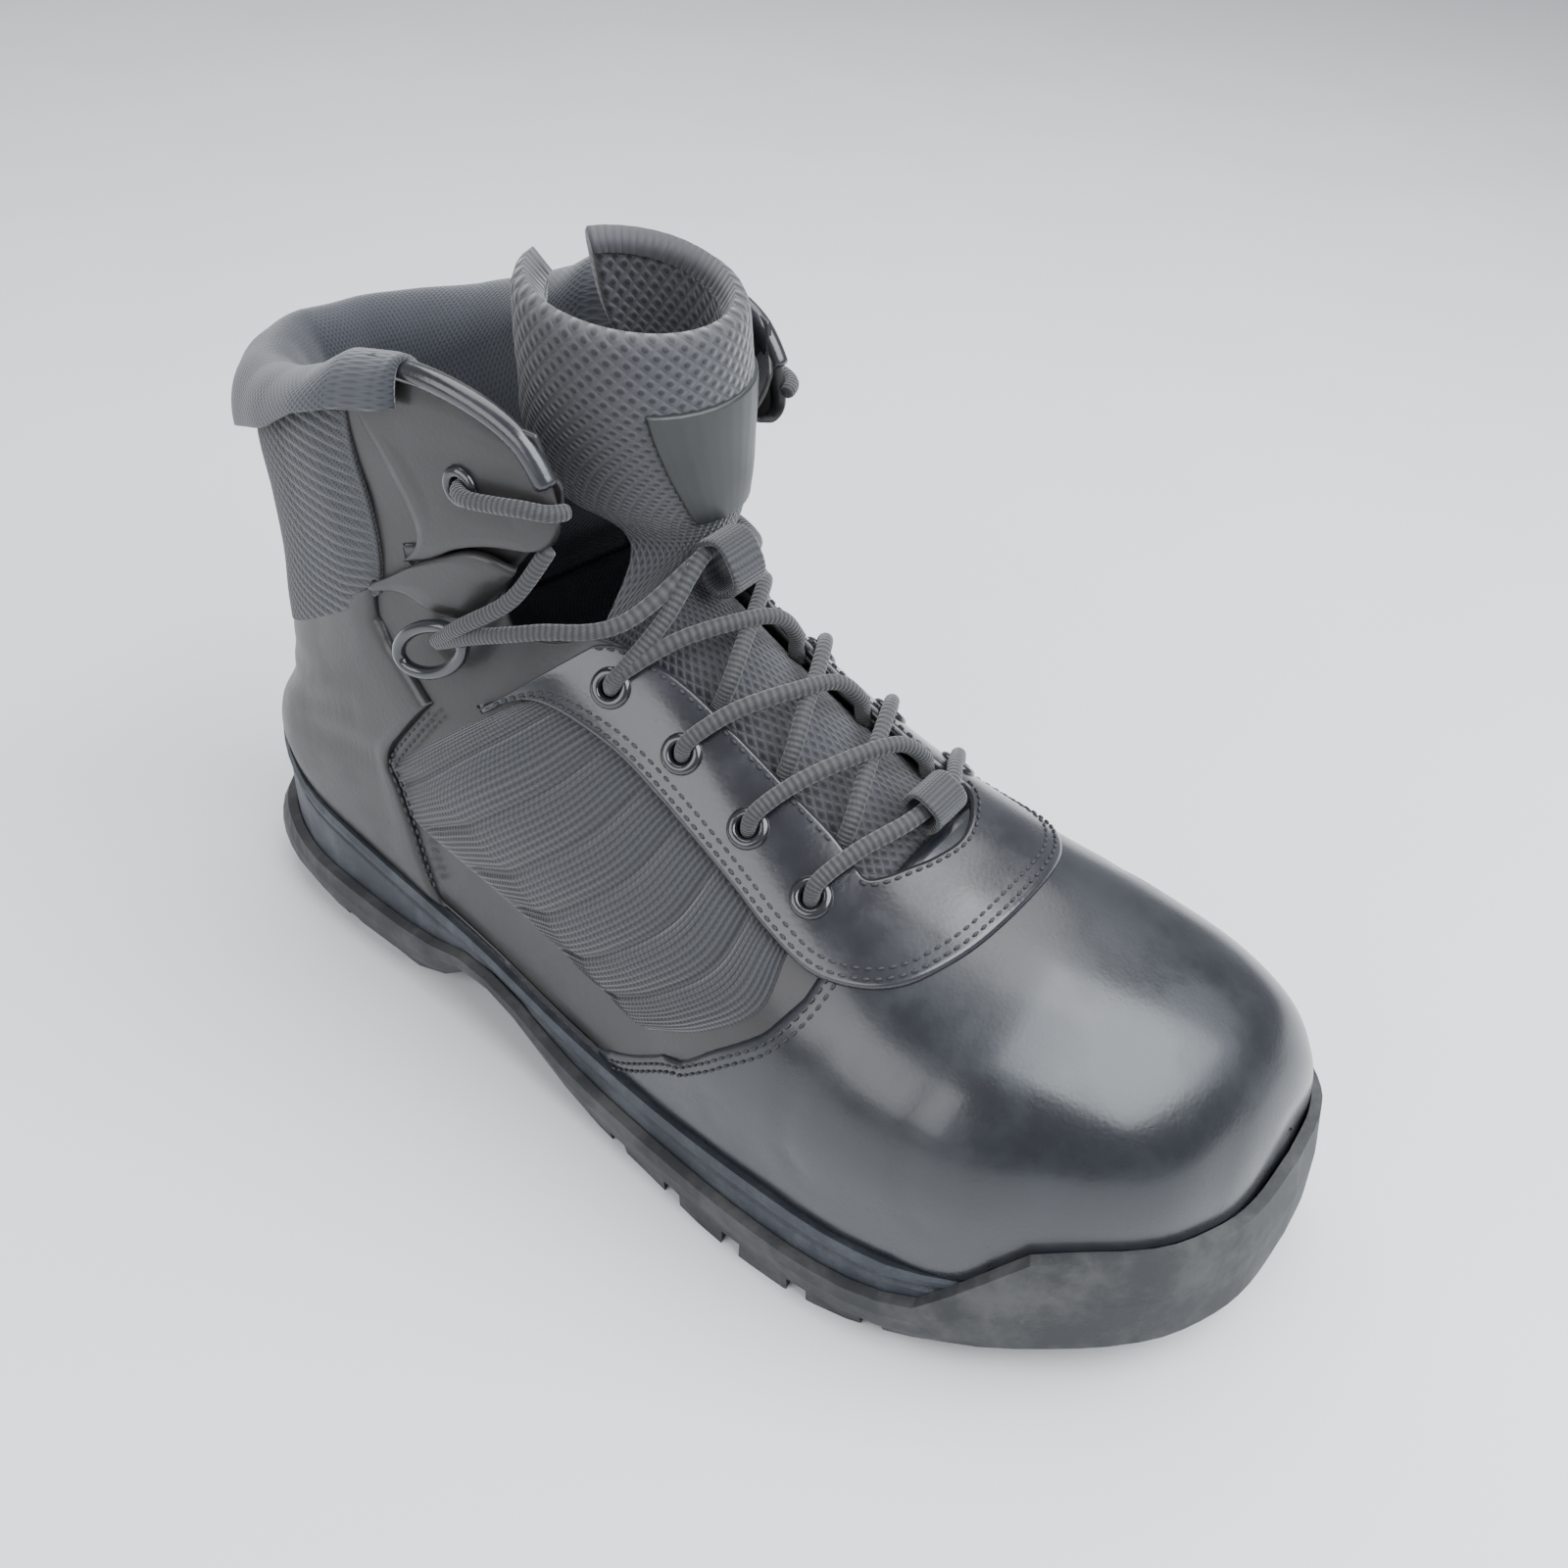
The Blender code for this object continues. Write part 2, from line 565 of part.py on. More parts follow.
def tongue_rows():
    """Control rows of the tongue's outer skin: under the throat first, then round its tube."""
    shares = np.linspace(-1, 1, 2 * TONGUE_HALF + 1)
    rows, pads = [], []
    for u, width in TONGUE_SECTIONS:
        t = shares * width
        rows.append(off_surface(np.full_like(t, u), t, np.full_like(t, -WALL - TONGUE_DROP)))
        pads.append(0.0)
    centre_y = TUBE_SWING
    for row in TUBE:
        s = dict(zip(TUBE_COLUMNS, row))
        angle = shares * math.radians(s["wrap"])
        depth, width = s["depth"] * TUBE_DEPTH, s["width"] * TUBE_WIDTH
        x = s["front"] * LAST_LENGTH - depth * (1 - np.cos(angle))
        y = centre_y + width * np.sin(angle)
        lift = s["crown"] * SHAFT_RISE * 0.5 * (1 - np.cos(angle))
        z = SOLE_HEIGHT + s["rise"] * SHAFT_RISE + lift
        rows.append(np.stack([x, y, z], -1))
        pads.append(s["pad"])
    return np.array(rows), np.array(pads)


def make_tongue(collection, finish):
    rows, pads = tongue_rows()
    steps = np.linspace(0, len(rows) - 1, 4 * (len(rows) - 1) + 1)
    flat = spline(rows.reshape(len(rows), -1), steps).reshape(len(steps), -1, 3)
    pad = np.interp(steps, np.arange(len(pads)), pads)
    walls = [(TONGUE_WALL + (TONGUE_PAD - TONGUE_WALL) * p) / TONGUE_PAD * np.ones(flat.shape[1]) for p in pad]
    bm = bmesh.new()
    loft(bm, flat, weights=walls)
    made = add_object("tongue", bm, collection, finish)
    made.vertex_groups.new(name="wall")
    shell = made.modifiers.new("Pad", "SOLIDIFY")
    shell.thickness = TONGUE_PAD
    shell.offset = -1.0
    shell.vertex_group = "wall"
    shell.thickness_vertex_group = 0.05
    apply_modifiers(made)
    return made


def frame_at(u, t):
    """Point, outward direction and the two directions along the surface there."""
    u, t = np.float64(u), np.float64(t)
    point = last_surface(u, t)
    normal = last_normal(u, t)
    forward = last_surface(u - 0.05, t) - last_surface(u + 0.05, t)
    forward -= normal * (forward @ normal)
    forward /= np.linalg.norm(forward)
    return point, normal, forward, np.cross(normal, forward)


def place_mesh(bm, point, normal, forward, across):
    """Moves a shape that was made round the origin, with +Z outwards, onto the surface."""
    for vert in bm.verts:
        x, y, z = vert.co
        vert.co = point + forward * x + across * y + normal * z


def eyelet_places():
    """Name, section, share and side of each eyelet."""
    places = []
    for side, word in ((-1, "lateral"), (1, "medial")):
        for i, (u, t) in enumerate(EYELETS):
            places.append((f"eyelet_{word}_{i + 1}", u, t, side))
        places.append((f"eyelet_{word}_flap", *FLAP_EYELET, side))
    return places


def make_eyelet(name, u, t, side, collection, finish):
    """A flange on the leather and a barrel through it, spun from one profile. The flap's has no barrel."""
    bm = bmesh.new()
    lift = 2 * LIFT
    foot = lift if "flap" in name else -0.7 * WALL
    profile = [
        (EYELET_BORE, lift + EYELET_RIM), (EYELET_RADIUS - 0.0006, lift + EYELET_RIM),
        (EYELET_RADIUS, lift + 0.4 * EYELET_RIM), (EYELET_RADIUS, lift), (BARREL_RADIUS, lift),
        (BARREL_RADIUS, foot), (EYELET_BORE, foot),
    ]
    if foot == lift:
        del profile[5]
    verts = [bm.verts.new((x, 0.0, z)) for x, z in profile]
    edges = [bm.edges.new((a, b)) for a, b in zip(verts, verts[1:] + verts[:1])]
    bmesh.ops.spin(
        bm, geom=verts + edges, axis=(0, 0, 1), cent=(0, 0, 0), angle=2 * math.pi, steps=12, use_merge=True,
    )
    bmesh.ops.remove_doubles(bm, verts=bm.verts, dist=1e-6)
    place_mesh(bm, *frame_at(u, side * t))
    return add_object(name, face_out(bm), collection, finish)


def cut_eyelet_hole(upper, name, u, t, side, cutters):
    bm = bmesh.new()
    radius = BARREL_RADIUS + HOLE_CLEARANCE
    bmesh.ops.create_cone(
        bm, cap_ends=True, segments=12, radius1=radius, radius2=radius, depth=4 * COLLAR_PAD,
    )
    place_mesh(bm, *frame_at(u, side * t))
    bmesh.ops.recalc_face_normals(bm, faces=bm.faces)
    cutter = add_object(name.replace("eyelet", "hole"), bm, cutters)
    cutter.hide_render = True
    cutter.display_type = "WIRE"
    boolean(upper, cutter, "DIFFERENCE")


def make_strap(name, side, collection, finish):
    """Webbing that lies on the upper under the ankle flap and carries the hook."""
    first, second, third, fourth = np.array(STRAP_CORNERS)
    rows, tops = [], []
    for f in np.linspace(0.0, 1.0, 7):
        low, high = first + (second - first) * f, fourth + (third - fourth) * f
        spots = low + (high - low) * np.linspace(0.0, 1.0, 6)[:, None]
        u, t = spots[:, 0], side * spots[:, 1]
        rows.append(off_surface(u, t, np.full(6, STRAP_LIFT)))
        tops.append(off_surface(u, t, np.full(6, STRAP_LIFT + STRAP_THICK)))
    bm = bmesh.new()
    under = loft(bm, rows)
    over = loft(bm, tops)
    edge = []
    for grid in (under, over):
        round_it = grid[0] + [row[-1] for row in grid[1:]] + grid[-1][::-1][1:]
        edge.append(round_it + [row[0] for row in grid[::-1][1:-1]])
    for k in range(len(edge[0])):
        j = (k + 1) % len(edge[0])
        bm.faces.new((edge[0][k], edge[0][j], edge[1][j], edge[1][k]))
    return add_object(name, face_out(bm), collection, finish)


def tube_solid(name, points, radius, collection, finish, sides=2, cyclic=False):
    """A tube of round section along points, with its ends closed."""
    curve = bpy.data.curves.new(name, "CURVE")
    curve.dimensions = "3D"
    path = curve.splines.new("POLY")
    path.points.add(len(points) - 1)
    for spot, point in zip(path.points, points):
        spot.co = (*point, 1.0)
    path.use_cyclic_u = cyclic
    curve.bevel_depth = radius
    curve.bevel_resolution = sides
    curve.use_fill_caps = True
    guide = bpy.data.objects.new(name + "_guide", curve)
    collection.objects.link(guide)
    bpy.context.view_layer.update()
    graph = bpy.context.evaluated_depsgraph_get()
    mesh = bpy.data.meshes.new_from_object(guide.evaluated_get(graph))
    bm = bmesh.new()
    bm.from_mesh(mesh)
    bpy.data.objects.remove(guide)
    bmesh.ops.remove_doubles(bm, verts=bm.verts, dist=1e-6)
    bmesh.ops.recalc_face_normals(bm, faces=bm.faces)
    return add_object(name, bm, collection, finish)


def make_hook(name, side, collection, finish):
    """An oval wire loop at the strap's lower edge, standing clear of the leather."""
    (u0, t0), (u1, t1) = HOOK_ENDS
    lift = np.float64(HOOK_LIFT)
    low, high = off_surface(u0, side * t0, lift), off_surface(u1, side * t1, lift)
    normal = last_normal(np.float64(0.5 * (u0 + u1)), np.float64(side * 0.5 * (t0 + t1)))
    run = (high - low) / np.linalg.norm(high - low)
    wide = np.cross(normal, run)
    loop = []
    for angle in np.linspace(0, 2 * math.pi, 21)[:-1]:
        a, b = 0.5 * HOOK_LENGTH * math.cos(angle), 0.5 * HOOK_WIDTH * math.sin(angle)
        loop.append(0.5 * (low + high) + run * a + wide * b)
    return tube_solid(name, loop, HOOK_WIRE, collection, finish, cyclic=True)


def lace_run(spots, count=13):
    """A strand's smooth path through the given points."""
    table = np.asarray(spots, float)
    return spline(table, np.linspace(0, len(table) - 1, count))


def on_upper(u, t, out):
    return off_surface(np.float64(u), np.float64(t), np.float64(out))


def crossing_spots(i, side):
    """A strand from an eyelet on one side, or from under the throat's edge, to the other side's edge."""
    if i == 0:
        start = on_upper(EYELETS[0][0] + 0.45, side * 0.092, 0.0002)
    else:
        start = on_upper(EYELETS[i][0], side * (EYELETS[i][1] - 0.068), LACE_OVER)
    end = on_upper(EYELETS[i + 1][0] - 0.10, -side * 0.090, 0.0002)
    middle = 0.5 * (start + end)
    crest = on_upper(0.5 * (EYELETS[i][0] + EYELETS[i + 1][0]) + 0.25, 0.0, LACE_OVER)
    return [start, 0.5 * (start + middle) + (crest - middle) * 0.7, crest, 0.5 * (end + middle) + (crest - middle) * 0.7, end]


def make_laces(collection, finish):
    """One bar at the throat, and above it crossings of two joined strands each."""
    u, t = EYELETS[0]
    ends = [on_upper(u, side * (t - 0.068), LACE_OVER) for side in (-1, 1)]
    middle = on_upper(u - 0.35, 0.0, 0.0052)
    bar = lace_run([ends[0], 0.5 * (ends[0] + middle) + (0, 0, 0.0012), middle,
                    0.5 * (ends[1] + middle) + (0, 0, 0.0012), ends[1]])
    made = [tube_solid("lace_bar", bar, LACE_RADIUS, collection, finish)]
    for i in range(3):
        made.append(crossing(f"lace_crossing_{i + 1}", [crossing_spots(i, side) for side in (-1, 1)], collection, finish))
    u, t = EYELETS[3]
    strands = []
    for side in (-1, 1):
        strands.append([
            on_upper(u, side * (t - 0.068), LACE_OVER), on_upper(u + 0.35, side * 0.085, LACE_OVER + 0.0010),
            on_upper(*KEEPER, LACE_OVER + 0.0048), on_upper(12.00, -side * 0.175, 1.5 * HOOK_LIFT),
            on_upper(13.10, -side * 0.265, 1.4 * HOOK_LIFT), on_upper(13.90, -side * 0.325, HOOK_LIFT),
        ])
    made.append(crossing("lace_crossing_4", strands, collection, finish))
    return made


def crossing(name, strands, collection, finish):
    first = tube_solid(name, lace_run(strands[0]), LACE_RADIUS, collection, finish)
    second = tube_solid(name + "_strand", lace_run(strands[1]), LACE_RADIUS, collection, finish)
    boolean(first, second, "UNION")
    bpy.data.objects.remove(second)
    return first


def make_sleeve(name, centre, forward, outward, length, room, collection, finish):
    """A short loop of webbing round a lace, along Y: a flat oval ring in section."""
    bm = bmesh.new()
    rows = []
    angles = np.linspace(0, 2 * math.pi, 25)[:-1]
    for grow in (0.0, SLEEVE_WALL):
        for y in (-0.5 * length, 0.5 * length) if grow == 0.0 else (0.5 * length, -0.5 * length):
            a, b = room[0] + grow, room[1] + grow
            flat = np.cos(angles)[:, None] * a * forward + np.sin(angles)[:, None] * b * outward
            rows.append(centre + flat + (0.0, y, 0.0))
    loft(bm, rows, closed_rows=True, closed=True)
    return add_object(name, face_out(bm), collection, finish)


def make_sleeves(collection, finish):
    """The throat's tab round the lace bar and the keeper round the fourth crossing."""
    made = []
    middle = on_upper(EYELETS[0][0] - 0.35, 0.0, 0.0052)
    made.append(make_sleeve(
        "throat_tab", middle, np.array([0.87, 0.0, -0.49]), np.array([0.49, 0.0, 0.87]),
        0.8 * SLEEVE_LENGTH, (0.0046, 0.0038), collection, finish,
    ))
    middle = on_upper(*KEEPER, LACE_OVER + 0.0048)
    made.append(make_sleeve(
        "lace_keeper", middle, np.array([0.50, 0.0, -0.87]), np.array([0.87, 0.0, 0.50]),
        0.6 * SLEEVE_LENGTH, (0.0064, 0.0044), collection, finish,
    ))
    return made


def settle(objects):
    """Moves every solid so that the origin is the middle of the bottom of their box."""
    corners = []
    for item in objects:
        points = np.empty(len(item.data.vertices) * 3, np.float32)
        item.data.vertices.foreach_get("co", points)
        corners.append(points.reshape(-1, 3))
    everything = np.concatenate(corners)
    low, high = everything.min(axis=0), everything.max(axis=0)
    move = -np.array([(low[0] + high[0]) / 2, (low[1] + high[1]) / 2, low[2]])
    print("moved by", *np.round(move * 1000, 3))
    for item, points in zip(objects, corners):
        item.data.vertices.foreach_set("co", (points + move).ravel())
        item.data.update()


def main():
    for item in list(bpy.data.objects):
        bpy.data.objects.remove(item)
    parts = bpy.data.collections.new("safety_toe_boot")
    cutters = bpy.data.collections.new("cutters")
    for group in (parts, cutters):
        bpy.context.scene.collection.children.link(group)

    leather = material("leather", BLACK_LEATHER, 0.38)
    rubber = material("rubber", BLACK_RUBBER, 0.62)
    sole_body = material("sole_body", BLACK_RUBBER, 0.70)
    foam = material("foam", BLACK_FABRIC, 0.90)
    padding = material("padding", BLACK_FABRIC, 0.80)
    webbing = material("webbing", BLACK_FABRIC, 0.75)
    cord = material("cord", BLACK_FABRIC, 0.70)
    enamel = material("enamel", BLACK_ENAMEL, 0.30, 0.6)

    upper = make_upper(parts, leather)
    solids = [upper, make_midsole(parts, sole_body), make_outsole(parts, cutters, rubber)]
    solids += [make_insole(parts, foam), make_tongue(parts, padding)]
    for place in eyelet_places():
        if "flap" not in place[0]:
            cut_eyelet_hole(upper, *place, cutters)
        solids.append(make_eyelet(*place, parts, enamel))
    for side, word in ((-1, "lateral"), (1, "medial")):
        solids.append(make_strap(f"hook_strap_{word}", side, parts, webbing))
        solids.append(make_hook(f"lace_hook_{word}", side, parts, enamel))
    solids += make_laces(parts, cord)
    solids += make_sleeves(parts, webbing)
    settle(solids)


main()
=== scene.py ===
# %% [markdown]
# # A safety toe boot, panel by panel
# The real boot is sewn from flat panels that are pulled over a last, which is a foot-shaped block, and
# then joined to a moulded sole. This lesson builds it the same way. One function gives the last's
# surface, and every panel, seam and pad is laid on that surface at its own height, so the pieces fit
# wherever they meet.

import math

import bmesh
import bpy
import numpy as np
from mathutils import Matrix, Vector


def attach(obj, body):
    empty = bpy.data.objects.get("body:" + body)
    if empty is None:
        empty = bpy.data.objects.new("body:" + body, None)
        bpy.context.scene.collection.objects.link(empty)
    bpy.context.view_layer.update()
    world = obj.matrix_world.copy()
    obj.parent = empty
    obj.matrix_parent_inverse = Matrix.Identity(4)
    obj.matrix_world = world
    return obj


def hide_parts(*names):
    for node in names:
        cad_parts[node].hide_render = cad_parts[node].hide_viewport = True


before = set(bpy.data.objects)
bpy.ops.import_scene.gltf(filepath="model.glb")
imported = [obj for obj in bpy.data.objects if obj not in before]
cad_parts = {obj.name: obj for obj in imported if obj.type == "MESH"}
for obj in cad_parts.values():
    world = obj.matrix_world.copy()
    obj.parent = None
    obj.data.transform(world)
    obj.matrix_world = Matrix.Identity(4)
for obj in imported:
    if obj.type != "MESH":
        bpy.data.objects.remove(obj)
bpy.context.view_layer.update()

LAST_LENGTH = 0.294
BALL_WIDTH = 0.103
SOLE_HEIGHT = 0.0245
SHAFT_RISE = 0.154
SWING = 0.014
SETTLE = np.array([-0.148895, 0.004805, 0.0])
MM = 0.001

# %% [markdown]
# ## Camera
# The photograph was taken from above the boot's outer side with a phone-like wide lens, a little rolled.
# The eye's place and turn come from fitting the sole and the eyelets, so the camera is set from those
# three angles. A small shift and a slightly longer lens frame the one boot without moving the eye, which
# keeps the perspective.

# %% Camera
EYE = Vector((0.1872, -0.2396, 0.3290))
AZIMUTH, ELEVATION, ROLL = (math.radians(a) for a in (32.36, 35.82, 4.45))
FOCAL = 1270.92 / 1600
ZOOM = 1.32

back = Vector((
    math.sin(AZIMUTH) * math.cos(ELEVATION), -math.cos(AZIMUTH) * math.cos(ELEVATION), math.sin(ELEVATION),
))
right = Vector((math.cos(AZIMUTH), math.sin(AZIMUTH), 0.0))
up = back.cross(right)
across = right * math.cos(ROLL) + up * math.sin(ROLL)
upward = up * math.cos(ROLL) - right * math.sin(ROLL)
camera_data = bpy.data.cameras.new("camera")
camera = bpy.data.objects.new("camera", camera_data)
bpy.context.scene.collection.objects.link(camera)
camera.matrix_world = Matrix((
    (across.x, upward.x, back.x, EYE.x),
    (across.y, upward.y, back.y, EYE.y),
    (across.z, upward.z, back.z, EYE.z),
    (0, 0, 0, 1),
))
camera_data.sensor_width = 36.0
camera_data.lens = 36.0 * FOCAL * ZOOM
camera_data.shift_x = (745 - 800) / 1600 * ZOOM
camera_data.shift_y = (800 - 872) / 1600 * ZOOM
camera_data.clip_start = 0.01
bpy.context.scene.camera = camera
print("lens", round(camera_data.lens, 2))

# %% [markdown]
# ## The last
# Each row of the table is one section of the last, a fan from the front or top line to the sole or the
# back. A smooth curve runs through the rows, so a place on the upper is just a section number `u` and a
# share `t` of the girth: -1 is the outer side's bottom edge, 0 the middle of the front and 1 the inner
# side's bottom edge.

# %% Last
SECTION_COLUMNS = (
    "front", "front_rise", "back", "back_sole", "back_rise", "lateral", "medial",
    "belly", "foot_lateral", "foot_medial", "crown", "base", "swing",
)
SECTIONS = np.array((
    (0.998, 0.133, 1.002, 1.35, 0.000, 0.000, 0.000, 0.60, 0.000, 0.000, 2.00, 2.00, 1.00),
    (0.993, 0.190, 0.999, 1.29, 0.000, 0.175, 0.155, 0.60, 0.155, 0.135, 2.20, 2.00, 0.96),
    (0.978, 0.244, 0.988, 1.22, 0.000, 0.272, 0.235, 0.62, 0.252, 0.216, 2.30, 2.00, 0.86),
    (0.951, 0.297, 0.963, 1.16, 0.000, 0.364, 0.311, 0.64, 0.345, 0.292, 2.35, 2.00, 0.68),
    (0.901, 0.348, 0.915, 1.10, 0.000, 0.447, 0.379, 0.66, 0.427, 0.355, 2.35, 2.00, 0.43),
    (0.833, 0.386, 0.847, 1.04, 0.000, 0.529, 0.422, 0.68, 0.510, 0.398, 2.30, 2.00, 0.21),
    (0.755, 0.419, 0.765, 1.00, 0.000, 0.558, 0.440, 0.70, 0.539, 0.416, 2.20, 2.00, 0.07),
    (0.694, 0.458, 0.673, 0.98, 0.000, 0.539, 0.437, 0.72, 0.524, 0.408, 2.05, 2.00, 0.00),
    (0.636, 0.510, 0.571, 0.92, 0.000, 0.510, 0.413, 0.72, 0.490, 0.379, 2.00, 2.00, 0.00),
    (0.578, 0.568, 0.463, 0.96, 0.000, 0.466, 0.393, 0.70, 0.447, 0.350, 1.95, 2.00, 0.00),
    (0.520, 0.633, 0.344, 1.15, 0.000, 0.427, 0.374, 0.66, 0.400, 0.330, 1.95, 2.00, 0.00),
    (0.469, 0.692, 0.214, 1.41, 0.000, 0.403, 0.364, 0.62, 0.375, 0.335, 2.00, 2.00, 0.00),
    (0.466, 0.724, 0.119, 1.61, 0.000, 0.383, 0.362, 0.61, 0.342, 0.316, 2.05, 2.10, 0.00),
    (0.464, 0.756, 0.055, 1.84, 0.000, 0.364, 0.352, 0.58, 0.255, 0.245, 2.10, 2.20, 0.00),
    (0.464, 0.789, 0.027, 2.08, 0.000, 0.352, 0.345, 0.55, 0.145, 0.145, 2.15, 2.20, 0.00),
    (0.464, 0.815, 0.020, 2.27, 0.010, 0.345, 0.345, 0.53, 0.000, 0.000, 2.20, 2.20, 0.00),
    (0.464, 0.841, 0.022, 2.27, 0.075, 0.342, 0.372, 0.52, 0.000, 0.000, 2.60, 2.20, 0.02),
    (0.464, 0.867, 0.026, 2.27, 0.165, 0.344, 0.398, 0.50, 0.000, 0.000, 3.40, 2.15, 0.05),
    (0.464, 0.893, 0.032, 2.27, 0.270, 0.350, 0.428, 0.50, 0.000, 0.000, 4.20, 2.10, 0.09),
    (0.464, 0.925, 0.026, 2.27, 0.385, 0.361, 0.446, 0.50, 0.000, 0.000, 4.60, 2.10, 0.14),
    (0.464, 0.964, 0.011, 2.27, 0.490, 0.374, 0.456, 0.50, 0.000, 0.000, 4.60, 2.10, 0.18),
    (0.462, 1.016, 0.010, 2.27, 0.585, 0.384, 0.462, 0.50, 0.000, 0.000, 4.60, 2.10, 0.20),
    (0.460, 1.088, 0.017, 2.27, 0.670, 0.388, 0.464, 0.50, 0.000, 0.000, 4.60, 2.10, 0.20),
))
TOP_SECTION = float(len(SECTIONS) - 1)


def spline(table, u):
    """Rows of a table at number u, on a smooth curve through them."""
    table = np.asarray(table, float)
    last_row = len(table) - 1
    u = np.clip(np.asarray(u, float), 0.0, last_row - 1e-9)
    index = np.floor(u).astype(int)
    f = (u - index)[..., None]

    def row(k):
        return table[np.clip(k, 0, last_row)]

    before, start, end, after = row(index - 1), row(index), row(index + 1), row(index + 2)
    before = np.where((index == 0)[..., None], 2 * start - end, before)
    after = np.where((index >= last_row - 1)[..., None], 2 * end - start, after)
    bend = 2 * before - 5 * start + 4 * end - after
    twist = 3 * (start - end) + after - before
    return start + 0.5 * f * (end - before + f * (bend + f * twist))


def last_point(u, t):
    """The last's surface in metres, in the row's frame."""
    u, t = np.broadcast_arrays(np.asarray(u, float), np.asarray(t, float))
    row = spline(SECTIONS, u)
    s = {name: row[..., i] for i, name in enumerate(SECTION_COLUMNS)}
    front_z = SOLE_HEIGHT + s["front_rise"] * SHAFT_RISE
    back_z = s["back_sole"] * SOLE_HEIGHT + s["back_rise"] * SHAFT_RISE
    outer = t < 0
    wide = np.maximum(np.where(outer, s["lateral"], s["medial"]), 0) * BALL_WIDTH
    foot = np.maximum(np.where(outer, s["foot_lateral"], s["foot_medial"]), 0) * BALL_WIDTH
    share = np.abs(t)
    high = np.clip(2 * share, 0, 1) * math.pi / 2
    low = np.clip(2 * share - 1, 0, 1) * math.pi / 2
    crown, base, belly = 2 / s["crown"], 2 / s["base"], s["belly"]
    high_depth = belly * (1 - np.maximum(np.cos(high), 0) ** crown)
    high_width = wide * np.maximum(np.sin(high), 0) ** crown
    low_depth = belly + (1 - belly) * np.maximum(np.sin(low), 0) ** base
    low_width = foot + (wide - foot) * np.maximum(np.cos(low), 0) ** base
    depth = np.where(share <= 0.5, high_depth, low_depth)
    width = np.where(share <= 0.5, high_width, low_width)
    x = (s["front"] + (s["back"] - s["front"]) * depth) * LAST_LENGTH
    y = np.where(outer, -width, width) + s["swing"] * SWING
    return np.stack([x, y, front_z + (back_z - front_z) * depth], -1) + SETTLE


def last_normal(u, t):
    t = np.clip(t, -0.996, 0.996)
    sideways = last_point(u, t + 0.004) - last_point(u, t - 0.004)
    forward = last_point(np.clip(u - 0.02, 0, TOP_SECTION), t) - last_point(u + 0.02, t)
    normal = np.cross(forward, sideways)
    return normal / np.maximum(np.linalg.norm(normal, axis=-1, keepdims=True), 1e-12)


print("ball girth point", np.round(last_point(6.0, -0.5), 4))

# %% [markdown]
# ## Sheets laid on the last
# A panel starts as a plain grid. Its corners and edges are pulled onto the panel's outline, and the
# middle follows by the same rule that a quilt-maker uses to blend four curved edges. Solidify then gives
# the leather its thickness. The grid's own coordinates are kept as a UV map in metres, so cords and knits
# run along the panel.

# %% Sheet helpers
def smooth(x):
    x = np.clip(x, 0, 1)
    return x * x * (3 - 2 * x)


def roll_down(distance, radius):
    """1 inside a panel, falling to 0 at its edge on a quarter circle. Both are in millimetres."""
    f = np.clip(np.asarray(distance, float) / radius, 0, 1)
    return np.sqrt(np.clip(1 - (1 - f) ** 2, 0, 1))


def line(points):
    """A smooth curve through (section, share) points, as a function of 0 to 1."""
    points = np.asarray(points, float)
    size = np.array([20.0, 110.0])[: points.shape[1]] if points.shape[1] == 2 else 1.0
    steps = np.linalg.norm(np.diff(points, axis=0) * size, axis=1)
    knots = np.concatenate([[0], np.cumsum(steps)])
    knots /= knots[-1]

    def at(f):
        return spline(points, np.interp(f, knots, np.arange(len(points))))

    return at


def four_sided(bottom, top, rear, front):
    """Blends four edges. s runs from rear to front and w from bottom to top."""
    bottom, top, rear, front = (line(e) for e in (bottom, top, rear, front))

    def at(s, w):
        s1, w1 = s[..., None], w[..., None]
        ruled = (1 - w1) * bottom(s) + w1 * top(s) + (1 - s1) * rear(w) + s1 * front(w)
        zero, one = np.zeros_like(s), np.ones_like(s)
        corners = (1 - s1) * (1 - w1) * bottom(zero) + s1 * (1 - w1) * bottom(one)
        return ruled - corners - (1 - s1) * w1 * top(zero) - s1 * w1 * top(one)

    return at


def gathered(f, amount):
    """Moves grid lines towards both ends, where a panel's edge needs them."""
    return f - amount * np.sin(2 * math.pi * f) / (2 * math.pi)


def grid_mesh(name, place, columns, rows, size, gather=(0.5, 0.5), merge=1e-6):
    """A grid whose points go to place(s, w), with a UV map in metres. It returns the object."""
    bm = bmesh.new()
    bmesh.ops.create_grid(bm, x_segments=columns, y_segments=rows, size=0.5)
    flat = np.array([v.co for v in bm.verts])
    s = gathered(np.clip(flat[:, 0] + 0.5, 0, 1), gather[0])
    w = gathered(np.clip(flat[:, 1] + 0.5, 0, 1), gather[1])
    spots = place(s, w)
    layer = bm.loops.layers.uv.new("UVMap")
    for face in bm.faces:
        for loop in face.loops:
            k = loop.vert.index
            loop[layer].uv = (s[k] * size[0], w[k] * size[1])
    for vert, spot in zip(bm.verts, spots):
        vert.co = spot
    bmesh.ops.remove_doubles(bm, verts=bm.verts, dist=merge)
    bmesh.ops.dissolve_degenerate(bm, edges=bm.edges, dist=1e-7)
    mesh = bpy.data.meshes.new(name)
    bm.to_mesh(mesh)
    bm.free()
    mesh.shade_smooth()
    made = bpy.data.objects.new(name, mesh)
    bpy.context.scene.collection.objects.link(made)
    return made


